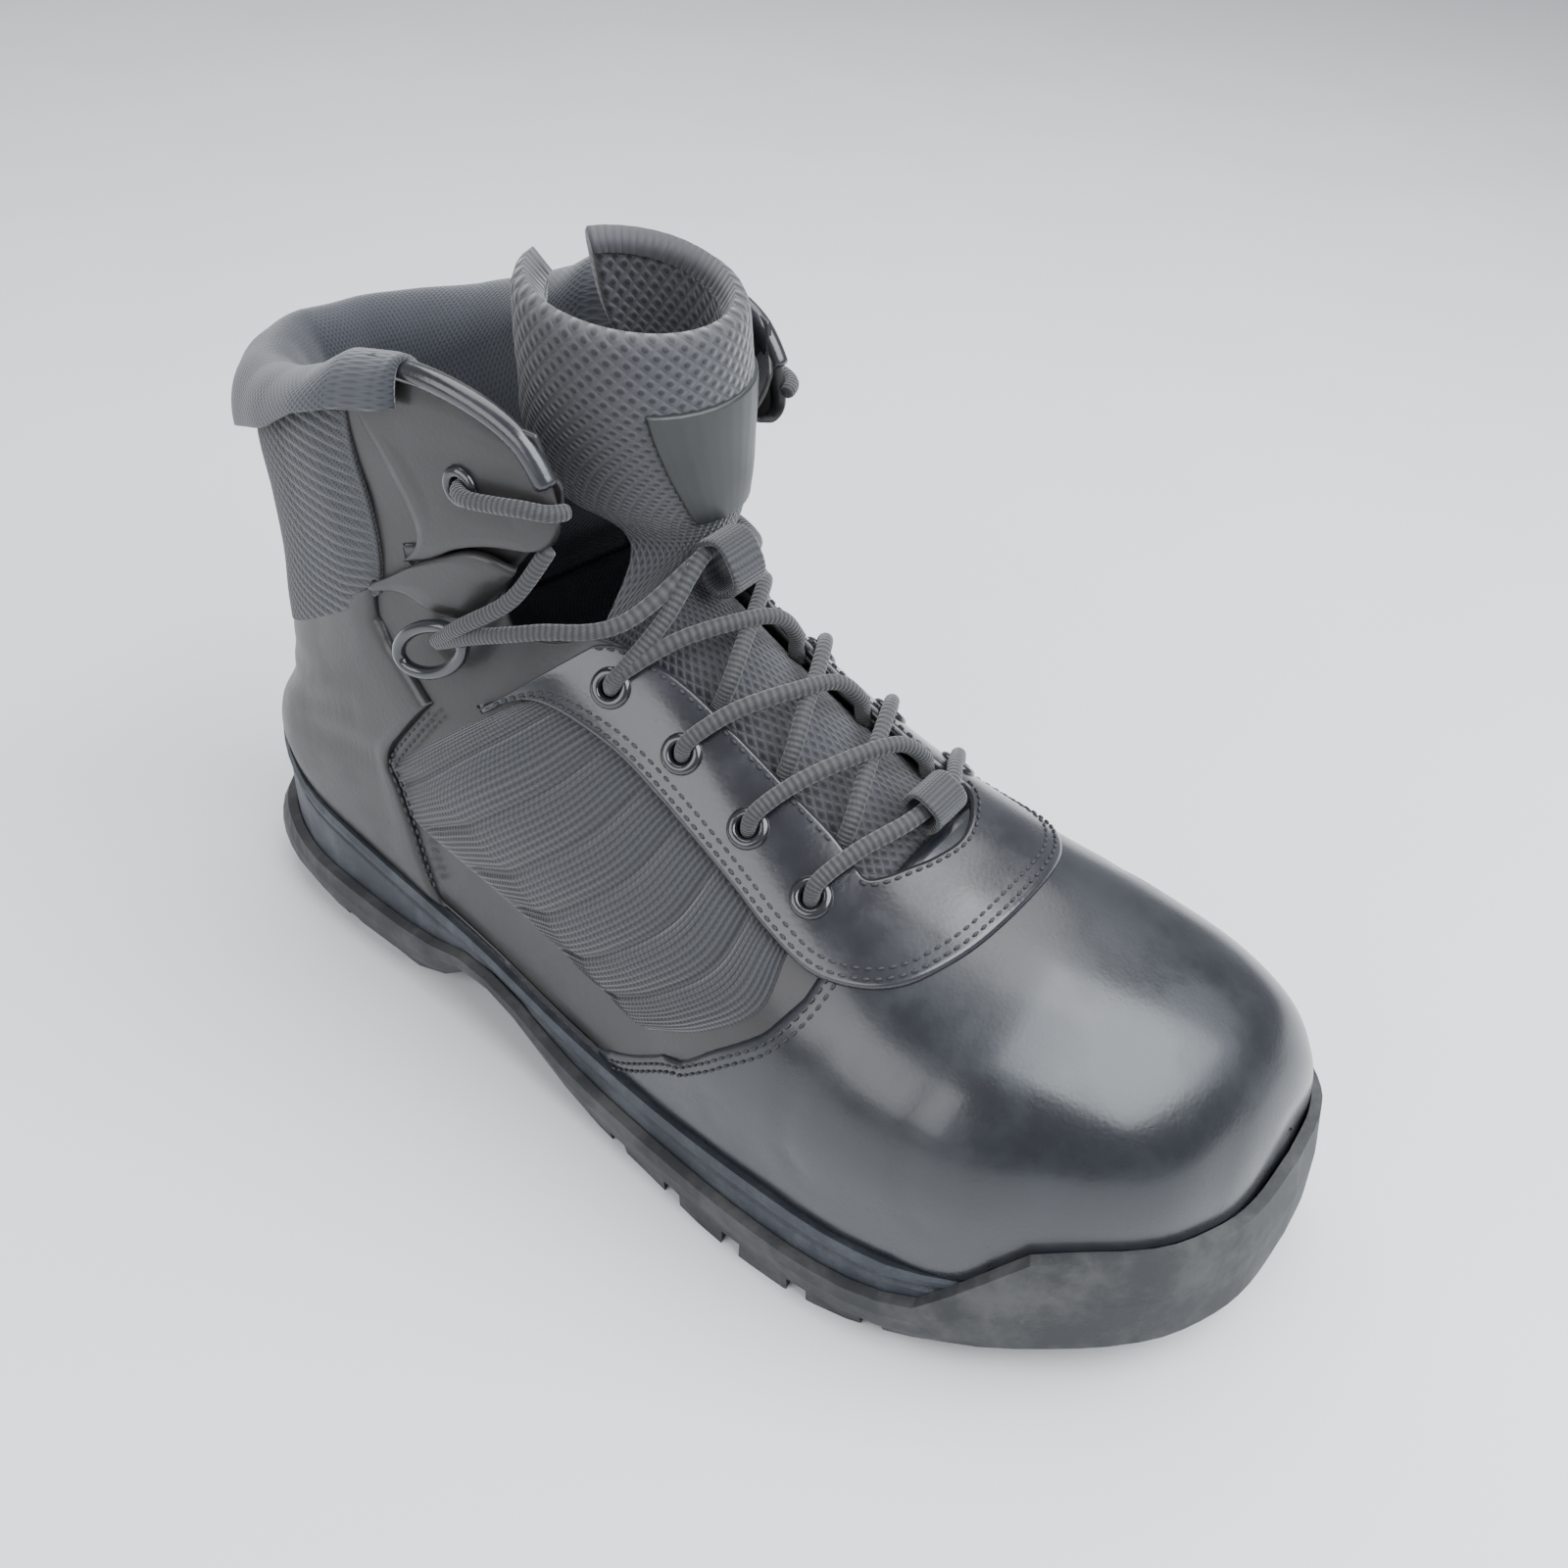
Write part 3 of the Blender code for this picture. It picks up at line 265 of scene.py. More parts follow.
def thicken(piece, millimetres, facing=None):
    """Gives a sheet its wall on the inner side. facing is a point that its outside looks away from."""
    if facing is not None:
        mesh = piece.data
        centre = sum((v.co for v in mesh.vertices), Vector()) / len(mesh.vertices)
        pointing = sum((p.normal * p.area for p in mesh.polygons), Vector())
        if pointing.dot(centre - Vector(facing)) < 0:
            mesh.flip_normals()
    wall = piece.modifiers.new("wall", "SOLIDIFY")
    wall.thickness = millimetres * MM
    wall.offset = -1.0
    return piece


def finish_piece(piece, material, nodes=()):
    if material is not None:
        piece.data.materials.clear()
        piece.data.materials.append(material)
    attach(piece, "root")
    if nodes:
        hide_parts(*nodes)
    print(piece.name, len(piece.data.polygons), "faces")
    return piece


# %% [markdown]
# ## Shared surface effects
# Grain, cord, knit and wear are node groups, because several finishes use them with their own sizes. A
# group hands out heights and masks only, and each finish keeps its own shader.
# The cord and knit colour masks carry painted highlight and painted shade.

# %% Effect groups
def new_group(name, inputs, outputs):
    group = bpy.data.node_groups.new(name, "ShaderNodeTree")
    for label, kind, value in inputs:
        socket = group.interface.new_socket(name=label, in_out="INPUT", socket_type=kind)
        if value is not None:
            socket.default_value = value
    for label in outputs:
        group.interface.new_socket(name=label, in_out="OUTPUT", socket_type="NodeSocketFloat")
    return group, group.nodes.new("NodeGroupInput"), group.nodes.new("NodeGroupOutput")


def maths(tree, kind, a, b=None, clamp=False):
    node = tree.nodes.new("ShaderNodeMath")
    node.operation = kind
    node.use_clamp = clamp
    for socket, value in zip(node.inputs, (a, b)):
        if value is None:
            continue
        if isinstance(value, (int, float)):
            socket.default_value = value
        else:
            tree.links.new(value, socket)
    return node.outputs[0]


def noise(tree, vector, scale, detail=3.0, roughness=0.55):
    node = tree.nodes.new("ShaderNodeTexNoise")
    node.inputs["Detail"].default_value = detail
    node.inputs["Roughness"].default_value = roughness
    tree.links.new(vector, node.inputs["Vector"])
    if isinstance(scale, (int, float)):
        node.inputs["Scale"].default_value = scale
    else:
        tree.links.new(scale, node.inputs["Scale"])
    return node.outputs[0]


def spread(tree, value, low, high, to_low=0.0, to_high=1.0):
    node = tree.nodes.new("ShaderNodeMapRange")
    node.interpolation_type = "SMOOTHSTEP"
    tree.links.new(value, node.inputs["Value"])
    for label, number in zip(("From Min", "From Max", "To Min", "To Max"), (low, high, to_low, to_high)):
        node.inputs[label].default_value = number
    return node.outputs[0]


def leather_group():
    """Pebbled cells with fine pores, and slow patches where the polish is worn."""
    group, given, result = new_group(
        "leather_grain", [("Vector", "NodeSocketVector", None), ("Cells", "NodeSocketFloat", 900.0)],
        ["Height", "Patches", "Dust"],
    )
    cells = group.nodes.new("ShaderNodeTexVoronoi")
    cells.feature = "SMOOTH_F1"
    group.links.new(given.outputs["Vector"], cells.inputs["Vector"])
    group.links.new(given.outputs["Cells"], cells.inputs["Scale"])
    fine = noise(group, given.outputs["Vector"], 2600.0, 2.0)
    height = maths(
        group, "ADD", maths(group, "MULTIPLY", cells.outputs["Distance"], 0.8),
        maths(group, "MULTIPLY", fine, 0.35),
    )
    group.links.new(height, result.inputs["Height"])
    group.links.new(
        spread(group, noise(group, given.outputs["Vector"], 38.0, 4.0, 0.6), 0.35, 0.7),
        result.inputs["Patches"],
    )
    specks = noise(group, given.outputs["Vector"], 420.0, 3.0, 0.7)
    group.links.new(spread(group, specks, 0.68, 0.80), result.inputs["Dust"])
    return group


def cord_group():
    """Parallel cords along the UV's second direction, crossed by a fine weave. Its colour mask is painted light:
    the cord tops lighter as a painted highlight, the grooves darker as painted shade.
    """
    group, given, result = new_group(
        "woven_cord", [
            ("UV", "NodeSocketVector", None), ("Pitch", "NodeSocketFloat", 0.0011),
            ("Weave", "NodeSocketFloat", 0.0006),
        ], ["Height", "Line"],
    )
    parts = group.nodes.new("ShaderNodeSeparateXYZ")
    group.links.new(given.outputs["UV"], parts.inputs[0])
    turn = maths(
        group, "MULTIPLY", maths(group, "DIVIDE", parts.outputs["X"], given.outputs["Pitch"]),
        2 * math.pi,
    )
    ridge = maths(group, "ADD", maths(group, "MULTIPLY", maths(group, "SINE", turn), 0.5), 0.5)
    over = maths(
        group, "MULTIPLY", maths(group, "DIVIDE", parts.outputs["Y"], given.outputs["Weave"]),
        2 * math.pi,
    )
    beat = maths(
        group, "MULTIPLY",
        maths(group, "SINE", maths(group, "ADD", over, maths(group, "MULTIPLY", turn, 0.5))), 0.12,
    )
    group.links.new(maths(group, "ADD", ridge, beat), result.inputs["Height"])
    # Painted highlight and shade: the ridge mask lightens the cord tops and darkens the grooves in the colour.
    group.links.new(ridge, result.inputs["Line"])
    return group


def knit_group():
    """A honeycomb spacer knit: rows of small diamonds, each row set half a stitch aside. Its hole mask darkens the
    openings as painted shade.
    """
    group, given, result = new_group(
        "spacer_knit", [("UV", "NodeSocketVector", None), ("Size", "NodeSocketFloat", 0.0022)], [
            "Height", "PaintedHoleShade",
        ],
    )
    parts = group.nodes.new("ShaderNodeSeparateXYZ")
    group.links.new(given.outputs["UV"], parts.inputs[0])
    x = maths(group, "DIVIDE", parts.outputs["X"], given.outputs["Size"])
    y = maths(group, "DIVIDE", parts.outputs["Y"], given.outputs["Size"])
    first = maths(group, "SINE", maths(group, "MULTIPLY", maths(group, "ADD", x, y), math.pi))
    second = maths(group, "SINE", maths(group, "MULTIPLY", maths(group, "SUBTRACT", x, y), math.pi))
    product = maths(group, "MULTIPLY", maths(group, "ABSOLUTE", first), maths(group, "ABSOLUTE", second))
    group.links.new(product, result.inputs["Height"])
    # Painted shade: this mask gives the knit's openings the darker colour.
    group.links.new(spread(group, product, 0.55, 0.85), result.inputs["PaintedHoleShade"])
    return group


def rubber_group():
    """Moulded rubber: a fine pitted skin with scuffs."""
    group, given, result = new_group(
        "moulded_rubber", [("Vector", "NodeSocketVector", None)], ["Height", "Scuff", "Dust"],
    )
    fine = noise(group, given.outputs["Vector"], 1500.0, 3.0, 0.7)
    slow = noise(group, given.outputs["Vector"], 60.0, 5.0, 0.65)
    group.links.new(fine, result.inputs["Height"])
    group.links.new(spread(group, slow, 0.4, 0.7), result.inputs["Scuff"])
    group.links.new(
        spread(group, noise(group, given.outputs["Vector"], 300.0, 4.0, 0.7), 0.62, 0.8),
        result.inputs["Dust"],
    )
    return group


GROUPS = {"leather": leather_group(), "cord": cord_group(), "knit": knit_group(), "rubber": rubber_group()}
print("groups", [g.name for g in GROUPS.values()])

# %% [markdown]
# ## Finishes
# Black leather is never plain black. It is a very dark blue-grey with a soft polish, so its look comes
# from roughness, a thin coat and a fine bump, which break up the reflections of the bright room.

# %% Finishes
def start_material(name, roughness, coat=0.0, coat_roughness=0.2, specular=0.5, sheen=0.0, metallic=0.0):
    made = bpy.data.materials.new(name)
    made.use_nodes = True
    tree = made.node_tree
    shader = tree.nodes["Principled BSDF"]
    shader.inputs["Roughness"].default_value = roughness
    shader.inputs["Metallic"].default_value = metallic
    shader.inputs["Coat Weight"].default_value = coat
    shader.inputs["Coat Roughness"].default_value = coat_roughness
    shader.inputs["Specular IOR Level"].default_value = specular
    shader.inputs["Sheen Weight"].default_value = sheen
    shader.inputs["Sheen Roughness"].default_value = 0.5
    return made, tree, shader


def use_group(tree, key, vector, **values):
    node = tree.nodes.new("ShaderNodeGroup")
    node.node_tree = GROUPS[key]
    tree.links.new(vector, node.inputs[0])
    for label, value in values.items():
        node.inputs[label].default_value = value
    return node.outputs


def coordinates(tree, kind):
    return tree.nodes.new("ShaderNodeTexCoord").outputs[kind]


def bump(tree, shader, height, distance, strength=1.0):
    node = tree.nodes.new("ShaderNodeBump")
    node.inputs["Strength"].default_value = strength
    node.inputs["Distance"].default_value = distance
    tree.links.new(height, node.inputs["Height"])
    tree.links.new(node.outputs[0], shader.inputs["Normal"])
    return node


def blend_colour(tree, shader, factor, first, second):
    node = tree.nodes.new("ShaderNodeMix")
    node.data_type = "RGBA"
    tree.links.new(factor, node.inputs[0])
    node.inputs[6].default_value = (*first, 1)
    node.inputs[7].default_value = (*second, 1)
    tree.links.new(node.outputs[2], shader.inputs["Base Color"])
    return node.outputs[2]


def leather(name, dark, light, roughness, coat, cells=900.0, depth=0.00006):
    made, tree, shader = start_material(name, roughness[0], coat, 0.16)
    place = coordinates(tree, "Object")
    grain = use_group(tree, "leather", place, Cells=cells)
    blend_colour(tree, shader, grain["Patches"], dark, light)
    rough = spread(tree, grain["Patches"], 0.0, 1.0, *roughness)
    tree.links.new(
        maths(tree, "ADD", rough, maths(tree, "MULTIPLY", grain["Dust"], 0.25), clamp=True),
        shader.inputs["Roughness"],
    )
    bump(tree, shader, grain["Height"], depth)
    return made


def corded(name, dark, light, pitch, weave, depth, roughness=0.62):
    made, tree, shader = start_material(name, roughness, sheen=0.25)
    cord = use_group(tree, "cord", coordinates(tree, "UV"), Pitch=pitch, Weave=weave)
    # The colour follows the cords: painted shade in the grooves, painted highlight on the tops.
    blend_colour(tree, shader, cord["Line"], dark, light)
    bump(tree, shader, cord["Height"], depth)
    return made


def knitted(name, dark, light, size, depth, roughness=0.7):
    made, tree, shader = start_material(name, roughness, sheen=0.3)
    knit = use_group(tree, "knit", coordinates(tree, "UV"), Size=size)
    # The openings take the first, darker colour: painted shade.
    blend_colour(tree, shader, knit["PaintedHoleShade"], light, dark)
    bump(tree, shader, knit["Height"], depth)
    return made


def moulded(name, dark, light, roughness, depth):
    made, tree, shader = start_material(name, roughness, specular=0.4)
    skin = use_group(tree, "rubber", coordinates(tree, "Object"))
    blend_colour(tree, shader, maths(tree, "ADD", skin["Scuff"], skin["Dust"], clamp=True), dark, light)
    bump(tree, shader, skin["Height"], depth)
    return made


FINISH = {
    "vamp": leather(
        "polished_leather", (0.008, 0.009, 0.012), (0.016, 0.018, 0.023), (0.26, 0.40), 0.35,
        1100.0, 0.00003,
    ),
    "stay": leather(
        "glossy_leather", (0.010, 0.010, 0.013), (0.020, 0.021, 0.026), (0.20, 0.34), 0.5, 1000.0,
        0.00004,
    ),
    "quarter": leather(
        "soft_leather", (0.014, 0.013, 0.013), (0.026, 0.024, 0.024), (0.38, 0.52), 0.15, 900.0,
        0.00005,
    ),
    # Corded finishes: the first colour is painted shade in the grooves, the second a painted highlight on the cord
    # tops.
    "side": corded("corded_nylon", (0.006, 0.006, 0.008), (0.040, 0.042, 0.050), 0.0011, 0.0006, 0.00035),
    # Knitted finishes: the first colour is painted shade in the openings.
    "collar": knitted("collar_fabric", (0.008, 0.008, 0.010), (0.034, 0.036, 0.042), 0.0011, 0.0001),
    "lining": knitted("lining_knit", (0.008, 0.009, 0.013), (0.026, 0.029, 0.038), 0.0016, 0.00015),
    "tongue": knitted("tongue_mesh", (0.006, 0.006, 0.008), (0.040, 0.040, 0.046), 0.0026, 0.0005),
    "patch": leather(
        "patch_leather", (0.016, 0.018, 0.018), (0.026, 0.028, 0.027), (0.42, 0.54), 0.1, 1400.0,
        0.00002,
    ),
    "lace": corded(
        "braided_lace", (0.012, 0.012, 0.013), (0.040, 0.040, 0.042), 0.0011, 0.0009, 0.00018, 0.7,
    ),
    "webbing": corded(
        "strap_webbing", (0.010, 0.010, 0.012), (0.030, 0.031, 0.036), 0.0009, 0.0012, 0.0002,
    ),
    "bead": moulded("bead_rubber", (0.030, 0.034, 0.042), (0.065, 0.071, 0.082), 0.55, 0.00022),
    "sole": moulded("tread_rubber", (0.022, 0.023, 0.025), (0.060, 0.060, 0.060), 0.62, 0.00008),
    "thread": start_material("thread", 0.6)[0],
    "enamel": start_material("black_enamel", 0.18, coat=0.8, coat_roughness=0.08, metallic=0.35)[0],
    "foam": knitted("insole_cloth", (0.012, 0.012, 0.014), (0.03, 0.03, 0.034), 0.0012, 0.0001),
}
FINISH["thread"].node_tree.nodes["Principled BSDF"].inputs["Base Color"].default_value = (
    0.020, 0.020, 0.023, 1,
)
FINISH["enamel"].node_tree.nodes["Principled BSDF"].inputs["Base Color"].default_value = (
    0.018, 0.019, 0.022, 1,
)
print(len(FINISH), "finishes")

# %% [markdown]
# ## Floor and light
# The photograph shows a pale, even floor and wide soft light from windows above the toe, which lays one
# broad bluish band over the polished toe. A large area light in front and above gives that band, a second
# one fills the outer side, and a pale world keeps the blacks readable.

# %% Floor and light
def area_light(name, place, target, size, power, colour):
    data = bpy.data.lights.new(name, "AREA")
    data.shape = "RECTANGLE"
    data.size, data.size_y = size
    data.energy = power
    data.color = colour
    lamp = bpy.data.objects.new(name, data)
    bpy.context.scene.collection.objects.link(lamp)
    aim = Vector(target) - Vector(place)
    lamp.rotation_euler = aim.to_track_quat("-Z", "Y").to_euler()
    lamp.location = place


bm = bmesh.new()
bmesh.ops.create_grid(bm, x_segments=2, y_segments=2, size=3.0)
floor_mesh = bpy.data.meshes.new("floor")
bm.to_mesh(floor_mesh)
bm.free()
floor = bpy.data.objects.new("floor", floor_mesh)
bpy.context.scene.collection.objects.link(floor)
floor_finish, floor_tree, floor_shader = start_material("floor_finish", 0.6)
floor_shader.inputs["Base Color"].default_value = (0.74, 0.745, 0.755, 1)
mottle = noise(floor_tree, coordinates(floor_tree, "Object"), 9.0, 4.0)
floor_tree.links.new(spread(floor_tree, mottle, 0.3, 0.7, 0.5, 0.7), floor_shader.inputs["Roughness"])
floor.data.materials.append(floor_finish)

area_light("window", (0.55, 0.10, 0.75), (0.02, 0.0, 0.06), (0.9, 0.7), 17.0, (0.90, 0.95, 1.0))
area_light("outer_fill", (-0.25, -0.95, 0.60), (-0.02, 0.0, 0.08), (1.2, 0.7), 10.0, (0.97, 0.98, 1.0))
area_light("top", (-0.25, 0.35, 1.0), (-0.02, 0.0, 0.08), (1.1, 0.9), 12.0, (1.0, 1.0, 1.0))
world = bpy.data.worlds.new("room")
world.use_nodes = True
world.node_tree.nodes["Background"].inputs["Color"].default_value = (0.86, 0.90, 0.96, 1)
world.node_tree.nodes["Background"].inputs["Strength"].default_value = 0.55
bpy.context.scene.world = world

# %% [markdown]
# ## Creases and eyelet seats
# A worn boot bends behind the cap and above the heel, so the leather there keeps a few soft troughs. They
# are drawn as short curves on the last. Each eyelet also presses the leather down into its hole.

# %% Creases
EYELETS = ((7.48, 0.193), (8.49, 0.193), (9.54, 0.198), (10.54, 0.213))
CREASES = (
    (((5.3, -0.55), (5.5, -0.40), (5.35, -0.22)), 0.35, 3.0),
    (((6.4, -0.62), (6.7, -0.47), (6.55, -0.33)), 0.45, 3.2),
    (((7.4, -0.70), (7.5, -0.55), (7.2, -0.42)), 0.35, 3.0),
    (((5.2, 0.60), (5.5, 0.42), (5.4, 0.22)), 0.35, 3.0),
    (((6.5, 0.62), (6.8, 0.47), (6.6, 0.33)), 0.45, 3.2),
    (((13.2, -0.72), (12.6, -0.62), (12.0, -0.56)), 0.6, 4.0),
    (((14.6, -0.78), (13.8, -0.66), (13.0, -0.55)), 0.7, 4.5),
    (((13.6, 0.74), (12.9, 0.62), (12.3, 0.55)), 0.6, 4.0),
    (((16.2, -0.86), (15.6, -0.74), (14.8, -0.64)), 0.5, 4.0),
)


def curve_points(points, count=24):
    """(section, share) samples of a smooth curve."""
    return line(points)(np.linspace(0, 1, count))


CREASE_PLACES = [
    (last_point(c[:, 0], c[:, 1]), depth, width)
    for c, depth, width in ((curve_points(p, 16), d, w) for p, d, w in CREASES)
]


def creased(points):
    """Millimetres that the leather sinks at each point. Beside every trough it swells a little."""
    total = np.zeros(len(points))
    for path, depth, width in CREASE_PLACES:
        gap = np.linalg.norm(points[:, None] - path[None], axis=2)
        nearest = gap.argmin(axis=1)
        near = gap[np.arange(len(points)), nearest] / MM / width
        along_curve = nearest / (len(path) - 1)
        fade = np.sin(math.pi * np.clip(0.12 + 0.76 * along_curve, 0, 1))
        total += depth * fade * (1.35 * np.exp(-(near**2)) - 0.5 * np.exp(-((near / 2.2) ** 2)))
    return total


EYELET_SPOTS = np.array([last_point(u, side * t) for side in (-1, 1) for u, t in EYELETS])


def holed(points):
    """Millimetres that the leather drops inside each eyelet."""
    gap = np.linalg.norm(points[:, None] - EYELET_SPOTS[None], axis=2).min(axis=1)
    return 3.2 * (1 - smooth((gap / MM - 2.1) / 0.5))


def laid(u, t, out, creases=True):
    """A panel's points, `out` millimetres over the last, with the creases and the eyelet seats."""
    base = last_point(u, t)
    drop = holed(base) + (creased(base) if creases else 0)
    return base + last_normal(u, t) * ((out - drop) * MM)[:, None]


print(len(CREASES), "creases")

# %% [markdown]
# ## Inner skin
# Under the outside panels lies one continuous skin. It closes the gaps that real panels overlap across,
# and its inside is the lining that shows through the collar. It runs from the toe to the topline on each
# side.

# %% Inner skin
THROAT = (
    (6.55, 0.000), (6.70, 0.055), (6.90, 0.092), (7.20, 0.122), (7.60, 0.122), (9.00, 0.122),
    (10.40, 0.140), (11.30, 0.185), (12.10, 0.245), (13.00, 0.295), (14.50, 0.315), (16.00, 0.305),
    (16.90, 0.285), (17.40, 0.262), (18.00, 0.256), (20.20, 0.262), (20.80, 0.285), (22.00, 0.300),
)
TOPLINE = (
    (0.26, 20.40), (0.30, 20.90), (0.36, 21.25), (0.41, 21.55), (0.47, 21.85), (0.51, 21.80),
    (0.55, 21.50), (0.62, 21.30), (0.70, 21.25), (0.85, 21.45), (1.00, 21.60),
)


def along(table, x, column=1):
    table = np.asarray(table, float)
    return np.interp(x, table[:, 0], table[:, column])


def skin_place(side):
    toe, throat = np.linspace(0, 6.5, 30), np.linspace(6.55, 7.6, 16)
    quarter, shaft = np.linspace(7.7, 16.0, 60), np.linspace(16.1, 17.0, 26)
    rows = np.concatenate([toe, throat, quarter, shaft])

    def place(s, w):
        row = np.interp(s, np.linspace(0, 1, len(rows)), rows)
        rise = np.clip(row - 16.0, 0, 1)
        low = np.minimum(row, 16.0)
        opening = along(THROAT, low + (TOP_SECTION - low) * rise) + 0.006
        share = opening + (1 - opening) * w
        u = low + (along(TOPLINE, share) - 0.35 - low) * rise
        return laid(u, side * share, np.full_like(u, -0.9))

    return place


lining_inside = FINISH["lining"]
for side, word in ((-1, "lateral"), (1, "medial")):
    skin = grid_mesh(f"skin_{word}", skin_place(side), 140, 64, (0.36, 0.13))
    thicken(skin, 1.3, facing=(0.0, 0.0, 0.06))
    skin.data.materials.append(FINISH["quarter"])
    skin.data.materials.append(lining_inside)
    skin.modifiers["wall"].material_offset = 1
    finish_piece(skin, None, ["upper"])

# %% [markdown]
# ## Vamp
# The vamp is the one smooth panel over the toe. It is pulled tight over the safety cap, so it has the
# last's own shape, and it ends in a rounded edge that laps over the side panels.

# %% Vamp
VAMP_EDGE = (
    (0.0, 6.9), (0.20, 6.95), (0.292, 7.01), (0.367, 7.23), (0.445, 7.66), (0.55, 8.11),
    (0.81, 8.61), (1.0, 8.8),
)

SECTION_STEP = 18.0


def vamp_place(s, w):
    share = 2 * w - 1
    rear = along(VAMP_EDGE, np.abs(share))
    u = rear * (0.35 * s**2 + 0.65 * s)
    to_edge = (rear - u) * SECTION_STEP
    out = -1.1 + 1.5 * roll_down(to_edge, 1.4)
    return laid(u, share, out)


vamp = grid_mesh("vamp", vamp_place, 110, 150, (0.15, 0.19), gather=(0.0, 0.0))
thicken(vamp, 1.0, facing=(0.0, 0.0, 0.03))
finish_piece(vamp, FINISH["vamp"], ["upper"])

# %% [markdown]
# ## Eyelet stay
# One piece of glossy leather runs down one side of the laces, round their lower end and up the other
# side. It is drawn between two curves, its outer and inner edges, given as matching pairs on the last.

# %% Eyelet stay
STAY_PAIRS = (
    ((11.63, 0.375), (11.20, 0.200)), ((11.11, 0.307), (10.75, 0.163)), ((10.31, 0.270), (10.20, 0.141)),
    ((9.46, 0.257), (9.46, 0.128)), ((8.36, 0.255), (8.50, 0.120)), ((7.69, 0.262), (7.75, 0.116)),
    ((7.06, 0.262), (7.35, 0.122)), ((6.56, 0.240), (7.14, 0.124)), ((6.18, 0.208), (6.98, 0.104)),
    ((5.93, 0.167), (6.84, 0.074)), ((5.71, 0.095), (6.70, 0.038)), ((5.63, 0.000), (6.63, 0.000)),
)
lateral_half = [(a[0], -a[1], b[0], -b[1]) for a, b in STAY_PAIRS]
medial_half = [(a[0], a[1], b[0], b[1]) for a, b in STAY_PAIRS[-2::-1]]
STAY = np.array(lateral_half + medial_half)
STAY_LONG = 300.0


def stay_edges(s):
    steps = np.linalg.norm(np.diff(STAY[:, :2], axis=0) * (19.0, 100.0), axis=1)
    knots = np.concatenate([[0], np.cumsum(steps)]) / steps.sum()
    return spline(STAY, np.interp(s, knots, np.arange(len(STAY))))


def stay_place(s, w):
    pair = stay_edges(s)
    place = pair[:, :2] * (1 - w[:, None]) + pair[:, 2:] * w[:, None]
    outer, inner = last_point(pair[:, 0], pair[:, 1]), last_point(pair[:, 2], pair[:, 3])
    wide = np.linalg.norm(outer - inner, axis=1) / MM
    end = np.minimum(s, 1 - s) * STAY_LONG
    to_edge = np.minimum(np.minimum(w, 1 - w) * wide, end)
    puff = 0.35 * np.sin(math.pi * np.clip(w, 0, 1))
    out = -0.6 + 2.1 * roll_down(to_edge, 1.3) + puff
    return laid(place[:, 0], place[:, 1], out, creases=False)


stay = grid_mesh("eyelet_stay", stay_place, 300, 44, (0.30, 0.017), gather=(0.2, 0.7))
thicken(stay, 1.2, facing=(0.0, 0.0, 0.0))
finish_piece(stay, FINISH["stay"], ["upper"])

# %% [markdown]
# ## Nylon side panels
# Between the stay and the sole strip sits a padded panel of corded nylon. Its thick cords run up and
# forwards, and wider channels are pressed between groups of them. Both are real ridges on the panel's own
# grid.

# %% Side panels
SIDE_BOTTOM = ((11.80, 0.555), (11.34, 0.587), (10.93, 0.640), (10.07, 0.605), (9.17, 0.555), (8.37, 0.515))
SIDE_TOP = (
    (11.23, 0.320), (10.81, 0.278), (10.31, 0.260), (9.46, 0.248), (8.36, 0.246), (7.69, 0.252),
    (7.40, 0.258),
)
SIDE_REAR = ((11.80, 0.555), (11.57, 0.425), (11.23, 0.320))
SIDE_FRONT = ((8.37, 0.515), (8.19, 0.485), (7.74, 0.422), (7.35, 0.343), (7.40, 0.258))
CHANNELS = (0.13, 0.30, 0.435, 0.56, 0.70, 0.84)
CORDS = 62
SIDE_LONG, SIDE_HIGH = 72.0, 27.0


def side_place(side):
    blend = four_sided(SIDE_BOTTOM, SIDE_TOP, SIDE_REAR, SIDE_FRONT)

    def place(s, w):
        spot = blend(s, w)
        edge = np.minimum(np.minimum(s, 1 - s) * SIDE_LONG, np.minimum(w, 1 - w) * SIDE_HIGH)
        stops = np.array([0.0, *CHANNELS, 1.0])
        gap = np.abs(s[:, None] - stops[None]).min(axis=1) * SIDE_LONG
        trough = np.exp(-((gap / 1.0) ** 2))
        fade = smooth(edge / 3.0)
        cord = 0.16 * np.cos(2 * math.pi * CORDS * s) * fade
        puff = 1.5 * (1 - np.exp(-edge / 3.2)) + 0.45 * smooth(gap / 4.5) * fade
        out = -0.75 + puff - 0.95 * trough * fade + cord
        return laid(spot[:, 0], side * spot[:, 1], out, creases=False)

    return place


for side, word in ((-1, "lateral"), (1, "medial")):
    panel = grid_mesh(f"side_panel_{word}", side_place(side), 372, 34, (0.0682, 0.028), gather=(0.0, 0.3))
    thicken(panel, 0.8, facing=(-0.02, 0.0, 0.03))
    finish_piece(panel, FINISH["side"], ["upper"])

# %% [markdown]
# ## Quarters
# The quarter is the rear leather panel. It wraps the heel, laps over the nylon's rear edge and ends under
# the ribbed collar. Its front border is folded, so it is a little thicker there.

